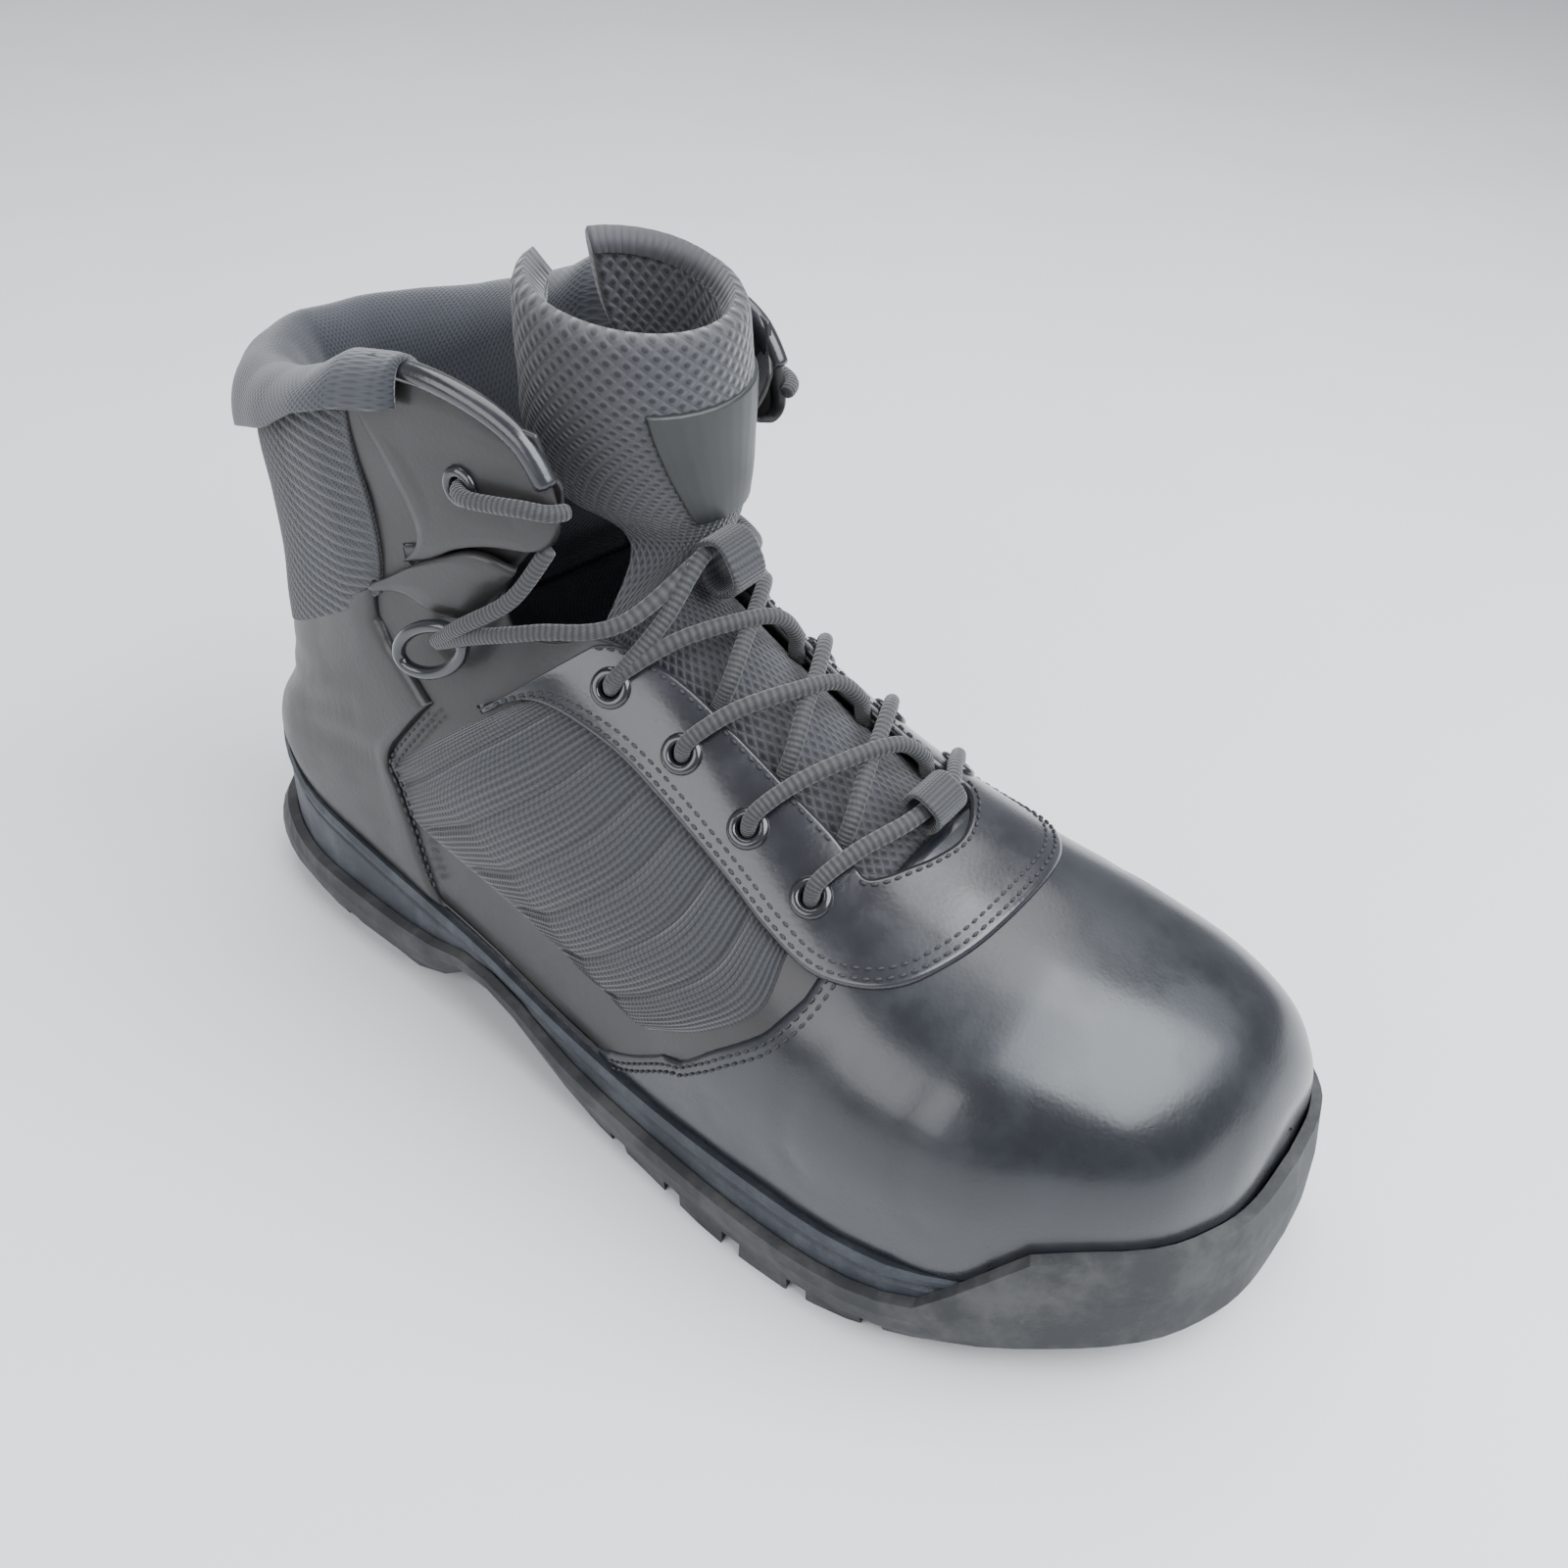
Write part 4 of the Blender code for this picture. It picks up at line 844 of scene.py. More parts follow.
# %% Quarters
QUARTER_BOTTOM = (
    (16.80, 1.0), (16.0, 1.0), (15.2, 1.0), (14.0, 1.0), (12.5, 1.0), (11.3, 1.0), (10.30, 1.0),
)
QUARTER_TOP = ((16.95, 0.515), (15.6, 0.495), (14.2, 0.465), (13.1, 0.438), (12.30, 0.425))
QUARTER_REAR = ((16.80, 1.0), (16.78, 0.85), (16.75, 0.70), (16.80, 0.60), (16.95, 0.515))
QUARTER_FRONT = (
    (10.30, 1.0), (10.51, 0.818), (10.70, 0.73), (10.94, 0.655), (11.34, 0.587), (11.80, 0.540),
    (12.05, 0.48), (12.30, 0.425),
)
QUARTER_LONG, QUARTER_HIGH = 110.0, 55.0


def quarter_place(side):
    blend = four_sided(QUARTER_BOTTOM, QUARTER_TOP, QUARTER_REAR, QUARTER_FRONT)

    def place(s, w):
        spot = blend(s, w)
        edge = np.minimum((1 - s) * QUARTER_LONG, (1 - w) * QUARTER_HIGH)
        out = -0.9 + 1.7 * roll_down(edge, 1.3) + 0.25 * np.exp(-((edge - 3.0) / 2.6) ** 2)
        return laid(spot[:, 0], side * spot[:, 1], out)

    return place


for side, word in ((-1, "lateral"), (1, "medial")):
    panel = grid_mesh(f"quarter_{word}", quarter_place(side), 120, 70, (0.125, 0.06), gather=(0.3, 0.3))
    thicken(panel, 0.9, facing=(-0.08, 0.0, 0.04))
    finish_piece(panel, FINISH["quarter"], ["upper"])

# %% [markdown]
# ## Collar
# The collar is padded so that it can hug the ankle. Its outside is a ribbed fabric whose ribs climb
# towards the front, and its top is a thick roll of smooth knit that stands out over the ribs. The inside
# is the same foam under a lining. All three share one path round the back of the ankle.

# %% Collar
COLLAR_PAD = 9.0
ANKLE_ROUND, RIBS_HIGH, RIB_PITCH = 178.0, 44.0, 2.25
RIB_FOOT = ((0.50, 16.95), (0.56, 16.75), (0.70, 16.70), (1.00, 16.75))
LIP_LINE = ((0.50, 21.20), (0.555, 21.03), (0.63, 20.53), (0.77, 20.20), (1.00, 20.25))


def ankle_share(s, start=0.505):
    """Signed share of the girth, from the outer side's front (s = 0) round the heel to the inner side's (s = 1)."""
    travel = start + s * 2 * (1 - start)
    return np.where(travel <= 1, -travel, 2 - travel)


def ribs_place(s, w):
    share = ankle_share(s)
    low, high = along(RIB_FOOT, np.abs(share)), along(LIP_LINE, np.abs(share)) + 0.25
    u = low - 0.25 + (high - low + 0.25) * w
    round_mm, high_mm = s * ANKLE_ROUND, w * RIBS_HIGH
    front = np.minimum(s, 1 - s) * ANKLE_ROUND
    phase = np.where(s < 0.5, round_mm, ANKLE_ROUND - round_mm) * 0.55 - high_mm
    lean = phase * 2 * math.pi / RIB_PITCH
    rib = np.abs(np.cos(0.5 * lean)) ** 0.8
    soft = smooth(front / 3.0)
    pad = 3.0 * np.sin(math.pi * np.clip(0.16 + 0.80 * w, 0, 1)) * (0.35 + 0.65 * smooth(front / 12.0))
    out = -0.9 + pad + 0.75 * rib * soft
    return last_point(u, share) + last_normal(u, share) * (out * MM)[:, None]


ribs = grid_mesh("collar_ribs", ribs_place, 260, 150, (0.178, 0.044), gather=(0.0, 0.0))
thicken(ribs, 0.9, facing=(-0.10, 0.0, 0.12))
finish_piece(ribs, FINISH["collar"], ["upper"])


def lip_place(s, w):
    """A roll from under the lip line, out and over the topline and down the inside."""
    share = ankle_share(s, 0.485)
    around = np.abs(share)
    turn = np.clip(w / 0.62, 0, 1)
    low, top = along(LIP_LINE, around), along(TOPLINE, around) + 0.15
    angle = turn * math.pi
    middle = low + 0.45 * (top - low)
    u = middle + (top - middle) * np.sin(angle) - (middle - low) * (1 - np.sin(angle))
    inside = -0.5 * COLLAR_PAD + 0.5 * (COLLAR_PAD + 6.0) * np.cos(angle) + 1.2 * np.cos(angle)
    down = np.clip((w - 0.62) / 0.38, 0, 1)
    u = u - down * 2.9
    front = np.minimum(s, 1 - s) * 190.0
    taper = np.sqrt(np.clip(1 - (1 - np.clip(front / 7.0, 0, 1)) ** 2, 0, 1))
    wobble = 0.25 * np.sin(share * 31.0) + 0.2 * np.sin(share * 57.0 + 1.0)
    out = (inside + wobble) * (0.30 + 0.70 * taper)
    return last_point(u, share) + last_normal(u, share) * (out * MM)[:, None]


lip = grid_mesh("collar_lip", lip_place, 210, 60, (0.19, 0.05), gather=(0.0, 0.0))
thicken(lip, 1.2)
finish_piece(lip, FINISH["lining"], ["upper"])


def lining_place(s, w):
    share = ankle_share(s, 0.40)
    around = np.abs(share)
    top = along(LIP_LINE, around) - 2.4
    u = 13.4 + (top - 13.4) * w
    depth = 2.6 + (COLLAR_PAD - 2.0) * smooth((w - 0.1) / 0.9)
    return last_point(u, share) + last_normal(u, share) * (-depth * MM)[:, None]


inner = grid_mesh("ankle_lining", lining_place, 90, 40, (0.19, 0.06), gather=(0.0, 0.0))
thicken(inner, 0.8)
finish_piece(inner, FINISH["lining"], ["upper"])

# %% [markdown]
# ## Ankle flaps
# A thick leather flap closes over the front of the ankle on each side. Its outline was read off the
# photograph on the plane of the outer ankle, so it is drawn there and given a slight bow. Its top edge is
# bound with a glossy strip, and it carries the last eyelet.

# %% Ankle flaps
FLAP_REAR = ((80.0, 128.5), (86.3, 136.5), (85.2, 144.0), (78.5, 152.8), (70.5, 160.2), (63.0, 166.6))
FLAP_TOP = (
    (63.0, 166.6), (71.3, 174.6), (81.0, 178.0), (91.6, 179.2), (101.0, 178.7), (110.1, 176.7),
    (117.0, 173.5), (121.0, 169.5),
)
FLAP_FRONT = (
    (119.0, 146.2), (123.6, 148.2), (126.3, 152.0), (126.6, 156.5), (124.6, 164.0), (121.0, 169.5),
)
FLAP_LOW = ((80.0, 128.5), (90.0, 133.0), (99.0, 139.5), (108.0, 143.6), (119.0, 146.2))
ANKLE_MIDDLE = float(last_point(19.0, 0.5)[1] + last_point(19.0, -0.5)[1]) / 2 - SETTLE[1]
FLAP_PLANE = -36.6
FLAP_HOLE = (103.3, 157.1)


def flap_side(x, z):
    """How far outwards the flap lies at a place in the side view, in millimetres."""
    return FLAP_PLANE + 0.0022 * (x - 92.0) ** 2 + 0.035 * np.maximum(z - 150.0, 0.0)


def on_flap(x, z, side, out=0.0):
    y = flap_side(x, z) - out
    middle = ANKLE_MIDDLE / MM
    y = y if side < 0 else 2 * middle - y
    return np.stack([x, y, z], -1) * MM + SETTLE


def flap_place(side):
    blend = four_sided(FLAP_LOW, FLAP_TOP, FLAP_REAR, FLAP_FRONT)

    def place(s, w):
        spot = blend(s, w)
        edge = np.minimum(np.minimum(s, 1 - s) * 50.0, np.minimum(w * 34.0, (1 - w) * 34.0))
        swell = 0.8 * smooth(edge / 6.0) * (1 - 0.3 * smooth((edge - 8) / 6.0))
        hole = np.hypot(spot[:, 0] - FLAP_HOLE[0], spot[:, 1] - FLAP_HOLE[1])
        out = -1.9 + 1.9 * roll_down(edge, 1.7) + swell - 3.0 * (1 - smooth((hole - 2.1) / 0.5))
        return on_flap(spot[:, 0], spot[:, 1], side, out)

    return place


def tube(name, path, radius, ring=12, flat=1.0, normals=None, steps=None):
    """A closed tube along a path in metres. flat squeezes it along the given normals."""
    path = np.asarray(path, float)
    count = steps or len(path)
    path = spline(path, np.linspace(0, len(path) - 1, count + 1))
    run = np.gradient(path, axis=0)
    run /= np.linalg.norm(run, axis=1, keepdims=True)
    if normals is None:
        side_way = np.zeros_like(run)
        first = np.array([0.0, 0.0, 1.0]) if abs(run[0][2]) < 0.9 else np.array([1.0, 0.0, 0.0])
        for i, tangent in enumerate(run):
            first = first - tangent * (first @ tangent)
            first /= np.linalg.norm(first)
            side_way[i] = first
    else:
        side_way = spline(np.asarray(normals, float), np.linspace(0, len(normals) - 1, count + 1))
        side_way -= run * (side_way * run).sum(axis=1, keepdims=True)
        side_way /= np.linalg.norm(side_way, axis=1, keepdims=True)
    other = np.cross(run, side_way)
    long = np.linalg.norm(np.diff(path, axis=0), axis=1).sum()

    def place(s, w):
        k = s * count
        low = np.clip(np.floor(k).astype(int), 0, count - 1)
        f = (k - low)[:, None]
        centre = path[low] * (1 - f) + path[low + 1] * f
        a = side_way[low] * (1 - f) + side_way[low + 1] * f
        b = other[low] * (1 - f) + other[low + 1] * f
        angle = w * 2 * math.pi
        ends = np.minimum(s, 1 - s) * long
        shrink = np.sqrt(np.clip(1 - (1 - np.clip(ends / radius, 0, 1)) ** 2, 0, 1))
        size = (radius * shrink)[:, None]
        return centre + a * size * flat * np.cos(angle)[:, None] + b * size * np.sin(angle)[:, None]

    made = grid_mesh(name, place, count, ring, (long, 2 * math.pi * radius), gather=(0.0, 0.0), merge=2e-6)
    mesh = made.data
    bm = bmesh.new()
    bm.from_mesh(mesh)
    bmesh.ops.recalc_face_normals(bm, faces=bm.faces)
    if bm.calc_volume(signed=True) < 0:
        bmesh.ops.reverse_faces(bm, faces=bm.faces)
    bm.to_mesh(mesh)
    bm.free()
    mesh.shade_smooth()
    return made


def joined(name, pieces):
    """Several meshes as one object."""
    bpy.ops.object.select_all(action="DESELECT")
    for piece in pieces:
        piece.select_set(True)
    bpy.context.view_layer.objects.active = pieces[0]
    bpy.ops.object.join()
    pieces[0].name = name
    pieces[0].data.name = name
    return pieces[0]


for side, word in ((-1, "lateral"), (1, "medial")):
    flap = grid_mesh(f"flap_{word}", flap_place(side), 110, 80, (0.06, 0.045), gather=(0.4, 0.4))
    thicken(flap, 4.0, facing=(-0.05, ANKLE_MIDDLE, 0.15))
    finish_piece(flap, FINISH["quarter"], ["upper"])
    rim = curve_points([*FLAP_TOP, (124.6, 164.0)], 40)
    edge_path = on_flap(rim[:, 0], rim[:, 1] - 1.6, side, -1.2)
    binding = tube(f"flap_binding_{word}", edge_path, 0.0026, ring=14, steps=70)
    finish_piece(binding, FINISH["stay"], ["upper"])

# %% [markdown]
# ## Straps and hooks
# A short leather strap comes forward from the ribs on each side, and a black wire loop hangs on its lower
# edge to take the lace. The strap is a small padded patch, and the loop is one bent wire.

# %% Straps and hooks
HOOK_LIFT, HOOK_LEAN, HOOK_HALF_LONG, HOOK_HALF_WIDE = 5.4, 0.6, 10.6, 5.6
STRAP_LOW = ((16.97, 0.510), (16.10, 0.455), (15.10, 0.395), (14.30, 0.342))
STRAP_TOP = ((17.45, 0.480), (17.50, 0.450), (17.47, 0.425), (17.10, 0.385), (16.17, 0.315))
STRAP_REAR = ((16.97, 0.510), (17.20, 0.497), (17.45, 0.480))
STRAP_FRONT = ((14.30, 0.342), (14.80, 0.325), (15.50, 0.316), (16.17, 0.315))


def strap_place(side):
    blend = four_sided(STRAP_LOW, STRAP_TOP, STRAP_REAR, STRAP_FRONT)

    def place(s, w):
        spot = blend(s, w)
        edge = np.minimum(np.minimum(s + 0.2, 1 - s) * 40.0, np.minimum(w, 1 - w) * 17.0)
        out = 0.9 + 1.9 * roll_down(edge, 1.4) + 0.5 * smooth(edge / 4.0)
        base = last_point(spot[:, 0], side * spot[:, 1])
        return base + last_normal(spot[:, 0], side * spot[:, 1]) * (out * MM)[:, None]

    return place


for side, word in ((-1, "lateral"), (1, "medial")):
    strap = grid_mesh(f"strap_{word}", strap_place(side), 60, 36, (0.04, 0.017), gather=(0.3, 0.3))
    thicken(strap, 2.0, facing=(-0.05, ANKLE_MIDDLE, 0.13))
    finish_piece(strap, FINISH["quarter"], [f"hook_strap_{word}"])
    spots = ((14.07, 0.435), (14.60, 0.405), (13.87, 0.340), (13.00, 0.385))
    centre = np.mean([last_point(u, side * t) for u, t in spots], axis=0)
    out_way = last_normal(13.9, side * 0.39)
    run = last_point(13.87, side * 0.340) - last_point(14.07, side * 0.435)
    run = run - out_way * (run @ out_way)
    run /= np.linalg.norm(run)
    wide = np.cross(out_way, run)
    turn = np.linspace(0, 2 * math.pi, 33)
    loop = [
        centre + out_way * (HOOK_LIFT + HOOK_LEAN * math.sin(a)) * MM
        + run * HOOK_HALF_LONG * MM * math.cos(a) + wide * HOOK_HALF_WIDE * MM * math.sin(a)
        for a in turn
    ]
    wire = tube(f"lace_hook_{word}", loop, 0.0016, ring=12, steps=56)
    finish_piece(wire, FINISH["enamel"], [f"lace_hook_{word}"])

# %% [markdown]
# ## Tongue
# The tongue is one padded sheet. It lies flat under the laces and curls into a deep tube at the ankle, so
# that it keeps grit out. The same rows as in the part give its shape, with its own wall of foam on the
# inside.

# %% Tongue
TUBE_COLUMNS = ("rise", "front", "depth", "width", "wrap", "crown", "pad")
TUBE_ROWS = (
    (0.735, 0.466, 0.96, 0.63, 62.0, 0.00, 0.50),
    (0.800, 0.470, 1.00, 0.76, 95.0, 0.00, 0.75),
    (0.870, 0.469, 1.00, 0.83, 125.0, 0.00, 1.00),
    (0.950, 0.467, 0.98, 0.88, 148.0, 0.02, 1.00),
    (1.060, 0.461, 0.95, 0.88, 158.0, 0.05, 0.90),
)
TONGUE_SECTIONS = (
    (6.75, 0.250), (7.60, 0.275), (8.60, 0.285), (9.60, 0.285), (10.50, 0.255), (11.20, 0.200),
)
TUBE_DEPTH, TUBE_WIDTH, TUBE_SWING = 0.0265, 0.0300, 0.0096


def tongue_grid():
    """Control rows from under the throat up to the tube's rim."""
    shares = np.linspace(-1, 1, 33)
    rows = []
    for u, width in TONGUE_SECTIONS:
        spots = last_point(np.full_like(shares, u), shares * width)
        rows.append(spots - last_normal(np.full_like(shares, u), shares * width) * 4.0 * MM)
    for row in TUBE_ROWS:
        s = dict(zip(TUBE_COLUMNS, row))
        angle = shares * math.radians(s["wrap"])
        x = s["front"] * LAST_LENGTH - s["depth"] * TUBE_DEPTH * (1 - np.cos(angle))
        y = TUBE_SWING + s["width"] * TUBE_WIDTH * np.sin(angle)
        lift = s["crown"] * SHAFT_RISE * 0.5 * (1 - np.cos(angle))
        z = SOLE_HEIGHT + s["rise"] * SHAFT_RISE + lift
        rows.append(np.stack([x, y, z], -1) + SETTLE)
    return np.array(rows)


TONGUE_GRID = tongue_grid()


def tongue_point(row, share):
    """The tongue's outside. row runs from 0 at the throat to 10 at the rim and share from -1 to 1 across."""
    row, share = np.broadcast_arrays(np.asarray(row, float), np.asarray(share, float))
    lines = spline(TONGUE_GRID.reshape(len(TONGUE_GRID), -1), row).reshape(*row.shape, 33, 3)
    place = (share + 1) / 2 * 32
    low = np.clip(np.floor(place).astype(int), 0, 31)
    f = (place - low)[..., None]
    index = np.arange(len(lines))
    return lines[index, low] * (1 - f) + lines[index, low + 1] * f


def tongue_normal(row, share):
    a = tongue_point(np.clip(row + 0.04, 0, 10), share) - tongue_point(np.clip(row - 0.04, 0, 10), share)
    b = tongue_point(row, np.clip(share + 0.02, -1, 1)) - tongue_point(row, np.clip(share - 0.02, -1, 1))
    normal = np.cross(b, a)
    return normal / np.maximum(np.linalg.norm(normal, axis=1, keepdims=True), 1e-12)


def tongue_place(s, w):
    row, share = 10 * w, 2 * s - 1
    rim = roll_down((1 - w) * 128.0, 3.4)
    out = -3.2 + 3.2 * rim
    sag = 0.6 * np.sin(share * 9.0 + row * 1.4) * smooth((row - 5.5) / 2.0)
    return tongue_point(row, share) + tongue_normal(row, share) * ((out + 0.25 * sag) * MM)[:, None]


tongue = grid_mesh("tongue", tongue_place, 110, 120, (0.085, 0.128), gather=(0.0, 0.0))
group = tongue.vertex_groups.new(name="wall")
rows_of = np.array([v.co.z for v in tongue.data.vertices]) - SETTLE[2]
for vert, z in zip(tongue.data.vertices, rows_of):
    group.add([vert.index], float(0.5 + 0.5 * smooth((z - 0.10) / 0.04)), "REPLACE")
thicken(tongue, 6.4)
tongue.modifiers["wall"].vertex_group = "wall"
finish_piece(tongue, FINISH["tongue"], ["tongue"])


def tongue_patch(name, rows, shares, out, material, size, swell=0.0):
    def place(s, w):
        row = rows[0] + (rows[1] - rows[0]) * w
        share = shares[0] + (shares[1] - shares[0]) * s
        edge = np.minimum(np.minimum(s, 1 - s) * size[0], np.minimum(w, 1 - w) * size[1]) / MM
        lift = out - 1.4 + 1.4 * roll_down(edge, 1.0) + swell * smooth(edge / 6.0)
        return tongue_point(row, share) + tongue_normal(row, share) * (lift * MM)[:, None]

    piece = grid_mesh(name, place, 60, 60, size, gather=(0.5, 0.5))
    thicken(piece, 1.0)
    return finish_piece(piece, material, ["tongue"])


tongue_patch("tongue_patch", (6.62, 9.05), (-0.30, 0.36), 1.0, FINISH["patch"], (0.046, 0.044))

# %% [markdown]
# ## Eyelets
# Each eyelet is a pressed metal ring, painted black, that clamps the leather round its hole. One profile
# is spun round the hole's axis, and all rings share one mesh.

# %% Eyelets
def spun_ring(profile, steps=24):
    """A closed ring from a profile of (radius, height) pairs in millimetres."""
    bm = bmesh.new()
    verts = [bm.verts.new((x * MM, 0.0, z * MM)) for x, z in profile]
    edges = [bm.edges.new((a, b)) for a, b in zip(verts, verts[1:] + verts[:1])]
    bmesh.ops.spin(
        bm, geom=verts + edges, axis=(0, 0, 1), cent=(0, 0, 0), angle=2 * math.pi, steps=steps,
        use_merge=True,
    )
    bmesh.ops.remove_doubles(bm, verts=bm.verts, dist=1e-6)
    bmesh.ops.recalc_face_normals(bm, faces=bm.faces)
    if bm.calc_volume(signed=True) < 0:
        bmesh.ops.reverse_faces(bm, faces=bm.faces)
    return bm


def put_down(bm, name, point, outward, along_way):
    """Moves a shape made round the origin, +Z outwards, to a place, and returns its object."""
    outward = Vector(outward).normalized()
    first = Vector(along_way)
    first = (first - outward * first.dot(outward)).normalized()
    second = outward.cross(first)
    turn = Matrix((
        (first.x, second.x, outward.x, point[0]), (first.y, second.y, outward.y, point[1]),
        (first.z, second.z, outward.z, point[2]), (0, 0, 0, 1),
    ))
    bmesh.ops.transform(bm, matrix=turn, verts=bm.verts)
    mesh = bpy.data.meshes.new(name)
    bm.to_mesh(mesh)
    bm.free()
    mesh.shade_smooth()
    made = bpy.data.objects.new(name, mesh)
    bpy.context.scene.collection.objects.link(made)
    return made


RING = (
    (2.25, -2.6), (2.30, 0.3), (2.60, 0.95), (3.10, 1.25), (3.70, 1.22), (4.30, 0.95), (4.75, 0.45),
    (4.85, -0.2), (2.80, -2.6),
)
rings = []
for side, word in ((-1, "lateral"), (1, "medial")):
    for i, (u, t) in enumerate(EYELETS):
        spot, out_way = last_point(u, side * t), last_normal(u, side * t)
        ring = put_down(spun_ring(RING), "ring", spot + out_way * 1.7 * MM, out_way, (1, 0, 0))
        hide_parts(f"eyelet_{word}_{i + 1}")
        rings.append(ring)
    a = on_flap(*FLAP_HOLE, side, 0.9)
    ring = put_down(spun_ring(RING), "ring", a, (0.05, side, 0.04), (1, 0, 0))
    rings.append(ring)
eyelet_nodes = [f"eyelet_{word}_{i}" for word in ("lateral", "medial") for i in ("1", "2", "3", "4", "flap")]
finish_piece(joined("eyelets", rings), FINISH["enamel"], eyelet_nodes)

# %% [markdown]
# ## Laces
# A round braided lace starts as a bar through the lowest pair of eyelets and the throat's tab. It then
# crosses from side to side, and each strand dives under the edge of the stay and comes up through the
# next eyelet. Above the fourth pair it goes through the keeper and round the hooks. The free ends would
# only be guesses, so they stop behind the top eyelets.

# %% Laces
LACE = 0.00185


def over(u, t, out):
    return last_point(u, t) + last_normal(u, t) * out * MM


def strand(name, spots, steps=60, radius=LACE):
    return tube(name, spots, radius, ring=14, steps=steps)


def eyelet_exit(i, side):
    """From inside the hole, out over the ring and towards the throat's edge."""
    u, t = EYELETS[i]
    return [over(u, side * t, -2.5), over(u, side * t, 1.2), over(u + 0.02, side * (t - 0.022), 4.0)]


strands = []
bar = eyelet_exit(0, -1)
bar += [
    over(EYELETS[0][0] - 0.12, -0.110, 4.6), over(EYELETS[0][0] - 0.32, -0.04, 5.2),
    over(EYELETS[0][0] - 0.34, 0.04, 5.2),
]
bar += [over(EYELETS[0][0] - 0.12, 0.110, 4.6)] + eyelet_exit(0, 1)[::-1]
strands.append(strand("lace_bar", bar, 70))
for i in range(3):
    for side in (-1, 1):
        lift = 5.4 if side < 0 else 3.2
        u0, u1 = EYELETS[i + 1][0], EYELETS[i][0]
        path = eyelet_exit(i + 1, side)
        path += [
            over(u0 - 0.10, side * 0.110, 4.2), over(0.5 * (u0 + u1) + 0.16, side * 0.030, lift - 0.6),
            over(0.5 * (u0 + u1) - 0.06, -side * 0.035, lift), over(u1 + 0.20, -side * 0.088, 2.2),
            over(u1 + 0.10, -side * 0.122, -1.8), over(u1 + 0.03, -side * 0.165, -2.6),
        ]
        strands.append(strand(f"crossing_{i}_{side}", path, 60))
KEEPER_SPOT = over(10.885, 0.020, 7.8)
for side in (-1, 1):
    path = eyelet_exit(3, side)
    path += [over(10.72, side * 0.105, 5.0), KEEPER_SPOT + np.array((-0.0035, side * 0.0028, 0.0030))]
    path += [
        over(11.85, -side * 0.150, 7.5), over(12.85, -side * 0.250, 8.0),
        over(13.75, -side * 0.330, 7.0), over(14.05, -side * 0.385, 5.6),
    ]
    strands.append(strand(f"to_hook_{side}", path, 80))
    word = -side
    path = [
        over(14.05, word * 0.385, 5.6), over(14.5, word * 0.345, 7.6),
        over(15.6, word * 0.305, 7.0), over(16.9, word * 0.275, 2.5),
    ]
    strands.append(strand(f"up_{side}", path, 40))
for side in (-1, 1):
    path = [
        on_flap(103.3, 157.1, side, -3.0), on_flap(103.6, 157.0, side, 1.6), on_flap(107.5, 156.8, side, 3.6),
        on_flap(114.0, 157.6, side, 3.4), on_flap(121.0, 158.8, side, 3.2), on_flap(126.5, 158.5, side, 1.2),
        on_flap(128.3, 157.8, side, -3.2),
    ]
    strands.append(strand(f"flap_lace_{side}", path, 40))
lace = joined("lace", strands)
finish_piece(
    lace, FINISH["lace"],
    ["lace_bar", "lace_crossing_1", "lace_crossing_2", "lace_crossing_3", "lace_crossing_4"],
)


def sleeve(name, centre, forward, outward, length, room, wall, nodes):
    """A flat loop of webbing round a lace, open at both ends."""
    centre, forward, outward = (np.asarray(v, float) for v in (centre, forward, outward))

    def place(s, w):
        angle = s * 2 * math.pi
        a = (np.abs(np.cos(angle)) ** 0.75 * np.sign(np.cos(angle)))[:, None] * (room[0] + wall) * forward
        b = (np.abs(np.sin(angle)) ** 0.75 * np.sign(np.sin(angle)))[:, None] * (room[1] + wall) * outward
        edge = np.minimum(w, 1 - w) * length / 0.0008
        pinch = (1 - 0.06 * (1 - smooth(edge)))[:, None]
        return centre + (a + b) * pinch + ((w - 0.5) * length)[:, None] * np.array((0.0, 1.0, 0.0))

    made = grid_mesh(name, place, 48, 12, (0.034, length), gather=(0.0, 0.5))
    mesh = made.data
    bm = bmesh.new()
    bm.from_mesh(mesh)
    bmesh.ops.remove_doubles(bm, verts=bm.verts, dist=1e-5)
    bmesh.ops.recalc_face_normals(bm, faces=bm.faces)
    bm.to_mesh(mesh)
    bm.free()
    outside = sum((p.center - Vector(centre)).dot(p.normal) for p in mesh.polygons)
    if outside < 0:
        mesh.flip_normals()
    thicken(made, wall / MM)
    return finish_piece(made, FINISH["webbing"], nodes)


sleeve(
    "throat_loop", over(7.13, 0.0, 5.2), (0.87, 0, -0.49), (0.49, 0, 0.87), 0.0115,
    (0.0040, 0.0030), 0.0012, ["throat_tab"],
)
sleeve(
    "keeper_loop", KEEPER_SPOT, (0.50, 0, -0.87), (0.87, 0, 0.50), 0.0110, (0.0058, 0.0042), 0.0013,
    ["lace_keeper"],
)

# %% [markdown]
# ## Seams
# Every seam on the boot is a lockstitch, so it reads as a row of short slanted dashes pressed into the
# leather. Each stitch is a small stretched ball, and a row is laid along a curve with an even pitch.

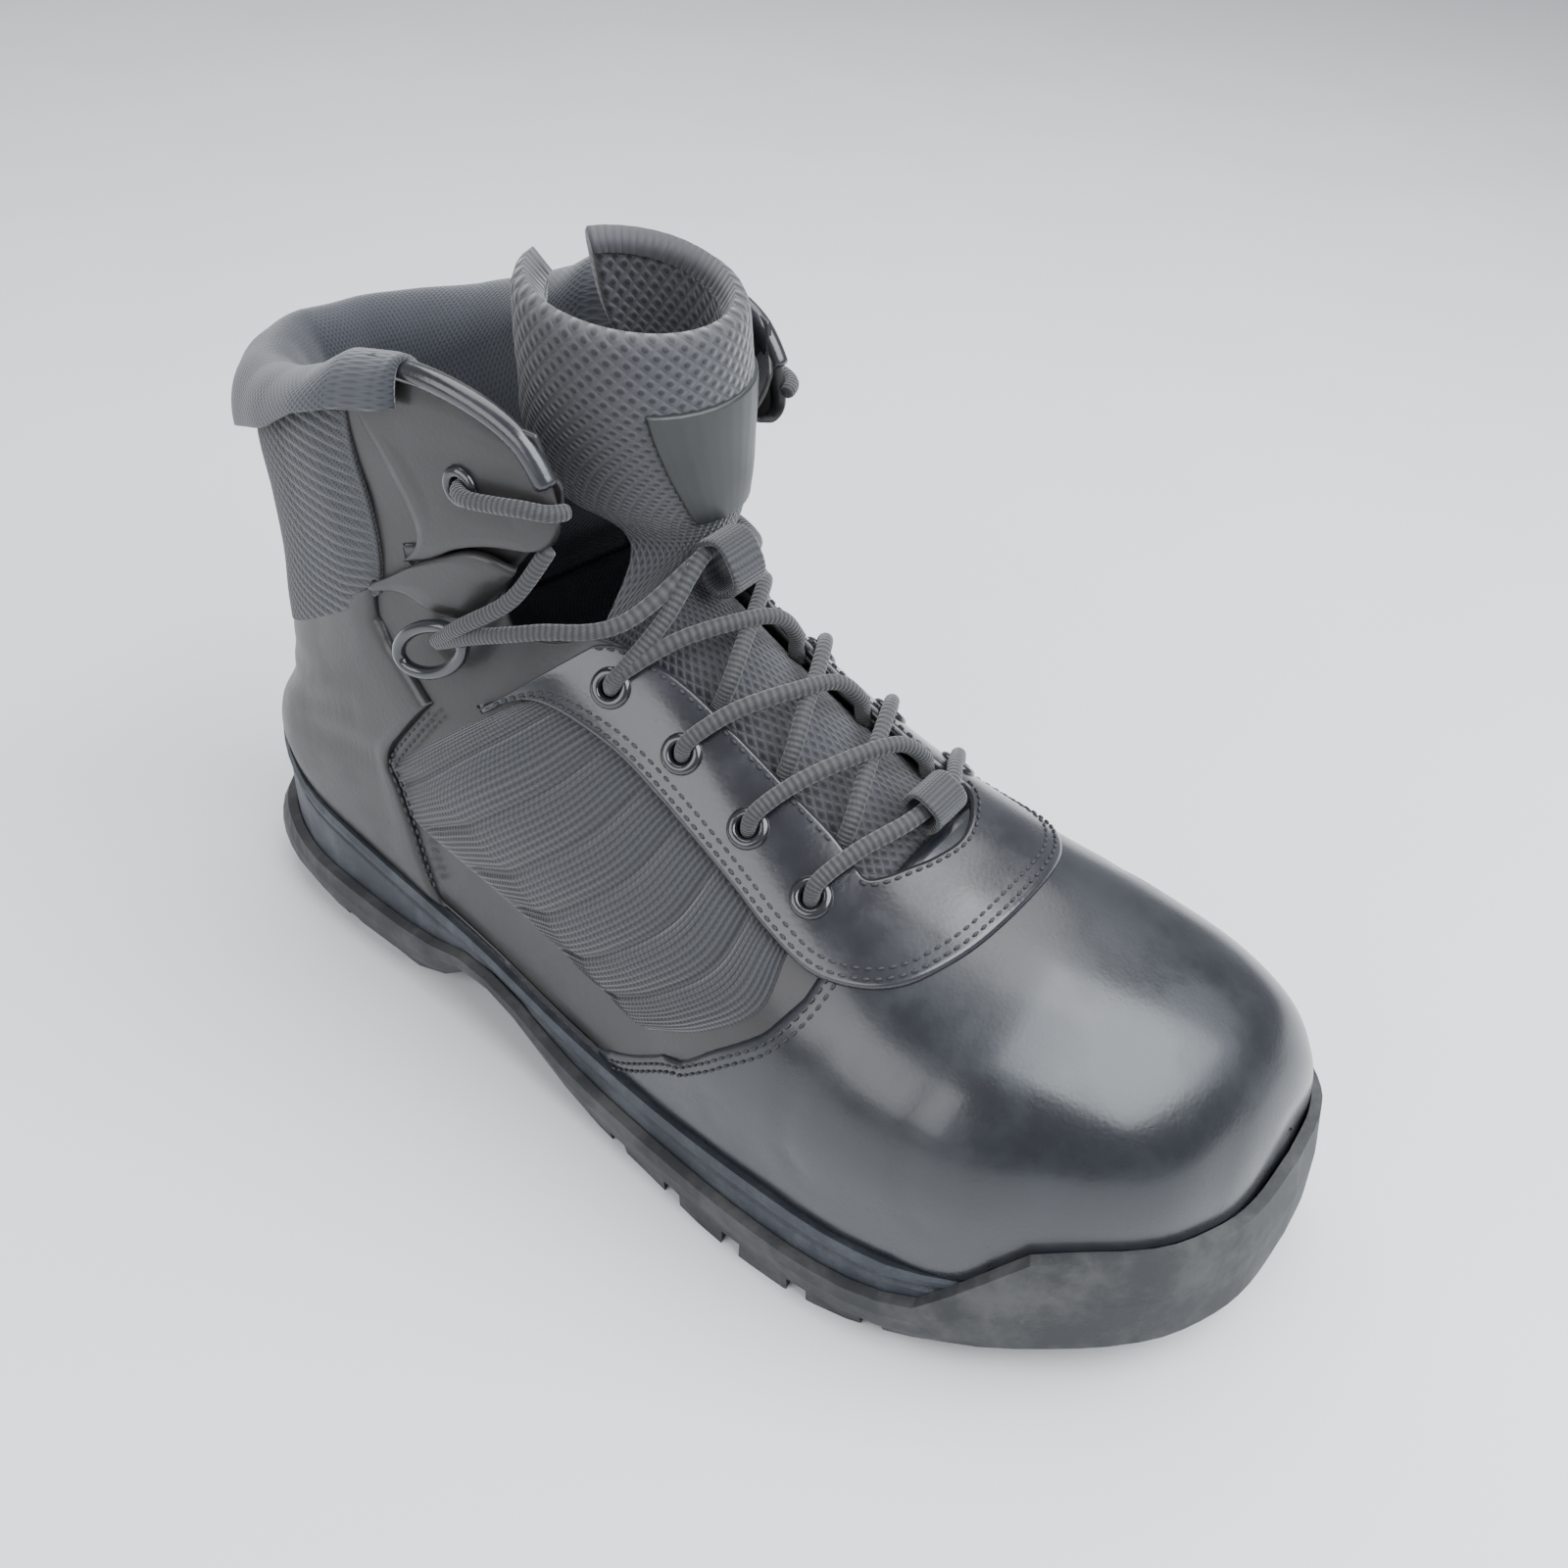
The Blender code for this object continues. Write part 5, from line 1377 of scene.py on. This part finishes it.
# %% Seams
def stitch_row(points, normals, pitch=0.0026, length=0.0019, thick=0.00042, lift=0.00012):
    """Stitches along a path in metres, as (centre, direction, normal) triples."""
    points, normals = np.asarray(points), np.asarray(normals)
    steps = np.linalg.norm(np.diff(points, axis=0), axis=1)
    run = np.concatenate([[0], np.cumsum(steps)])
    count = max(2, int(run[-1] / pitch))
    places = (np.arange(count) + 0.5) * run[-1] / count
    def at(table, where):
        return np.stack([np.interp(where, run, table[:, k]) for k in range(3)], -1)
    spots = at(points, places) + at(normals, places) * lift
    ways = at(points, np.minimum(places + 0.0004, run[-1])) - at(points, np.maximum(places - 0.0004, 0))
    return list(zip(spots, ways, at(normals, places), [length] * count, [thick] * count))


def lay_row(table, side, out, offset=0.0, **sizes):
    """Stitches on the last along a (section, share) table, pushed sideways by offset millimetres."""
    spots = curve_points(table, 160)
    u, t = spots[:, 0], side * spots[:, 1]
    points, normals = last_point(u, t), last_normal(u, t)
    way = np.gradient(points, axis=0)
    way /= np.linalg.norm(way, axis=1, keepdims=True)
    across_way = np.cross(normals, way) * side
    points = points + normals * (out * MM) + across_way * (offset * MM)
    return stitch_row(points, normals, **sizes)


def sew(name, rows, nodes=("upper",)):
    """One mesh that holds a small stretched ball for each stitch."""
    bm = bmesh.new()
    total = 0
    for row in rows:
        for spot, way, normal, length, thick in row:
            first = Vector(way).normalized()
            third = Vector(normal)
            third = (third - first * third.dot(first)).normalized()
            second = third.cross(first)
            turn = Matrix((
                (first.x * length / 2, second.x * thick, third.x * thick, spot[0]),
                (first.y * length / 2, second.y * thick, third.y * thick, spot[1]),
                (first.z * length / 2, second.z * thick, third.z * thick, spot[2]), (0, 0, 0, 1),
            ))
            bmesh.ops.create_uvsphere(bm, u_segments=6, v_segments=5, radius=1.0, matrix=turn)
            total += 1
    mesh = bpy.data.meshes.new(name)
    bm.to_mesh(mesh)
    bm.free()
    mesh.shade_smooth()
    made = bpy.data.objects.new(name, mesh)
    bpy.context.scene.collection.objects.link(made)
    print(name, total, "stitches")
    return finish_piece(made, FINISH["thread"], nodes)


SAMPLES = np.linspace(0.012, 0.988, 500)
stay_outer, stay_inner = stay_edges(SAMPLES)[:, :2], stay_edges(SAMPLES)[:, 2:]


def stay_row(inward, from_outer=True, part=(0.0, 1.0), out=1.62):
    """A row at `inward` millimetres from one edge of the stay."""
    a, b = last_point(stay_outer[:, 0], stay_outer[:, 1]), last_point(stay_inner[:, 0], stay_inner[:, 1])
    wide = np.linalg.norm(a - b, axis=1) / MM
    w = (inward / wide if from_outer else 1 - inward / wide)[:, None]
    spots = stay_outer * (1 - w) + stay_inner * w
    keep = (SAMPLES >= part[0]) & (SAMPLES <= part[1])
    u, t = spots[keep, 0], spots[keep, 1]
    normals = last_normal(u, t)
    return stitch_row(last_point(u, t) + normals * (out * MM), normals)


rows = [
    stay_row(2.2), stay_row(4.4), stay_row(2.0, False, (0.0, 0.30)),
    stay_row(2.0, False, (0.70, 1.0)), stay_row(2.0, False, (0.36, 0.64)),
]
for side in (-1, 1):
    rows.append(lay_row([(u, t) for t, u in VAMP_EDGE[1:-1]], side, 0.45, -2.2))
    rows.append(lay_row([(u, t) for t, u in VAMP_EDGE[1:-1]], side, 0.45, -4.2))
    for inset in (1.8, 3.8):
        rows.append(lay_row(QUARTER_FRONT[1:], side, 0.95, inset))
sew("upper_stitches", rows)

# %% [markdown]
# ## Sole
# The part's own sole, midsole and footbed already have the right shape, so they stay. They only get the
# finish of moulded rubber and of the footbed's cloth in place of the part's plain colours.

# %% Sole
for node_name, key in (("outsole", "sole"), ("midsole", "bead"), ("insole", "foam")):
    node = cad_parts[node_name]
    node.data.materials.clear()
    node.data.materials.append(FINISH[key])
    print(node_name, "gets", FINISH[key].name)
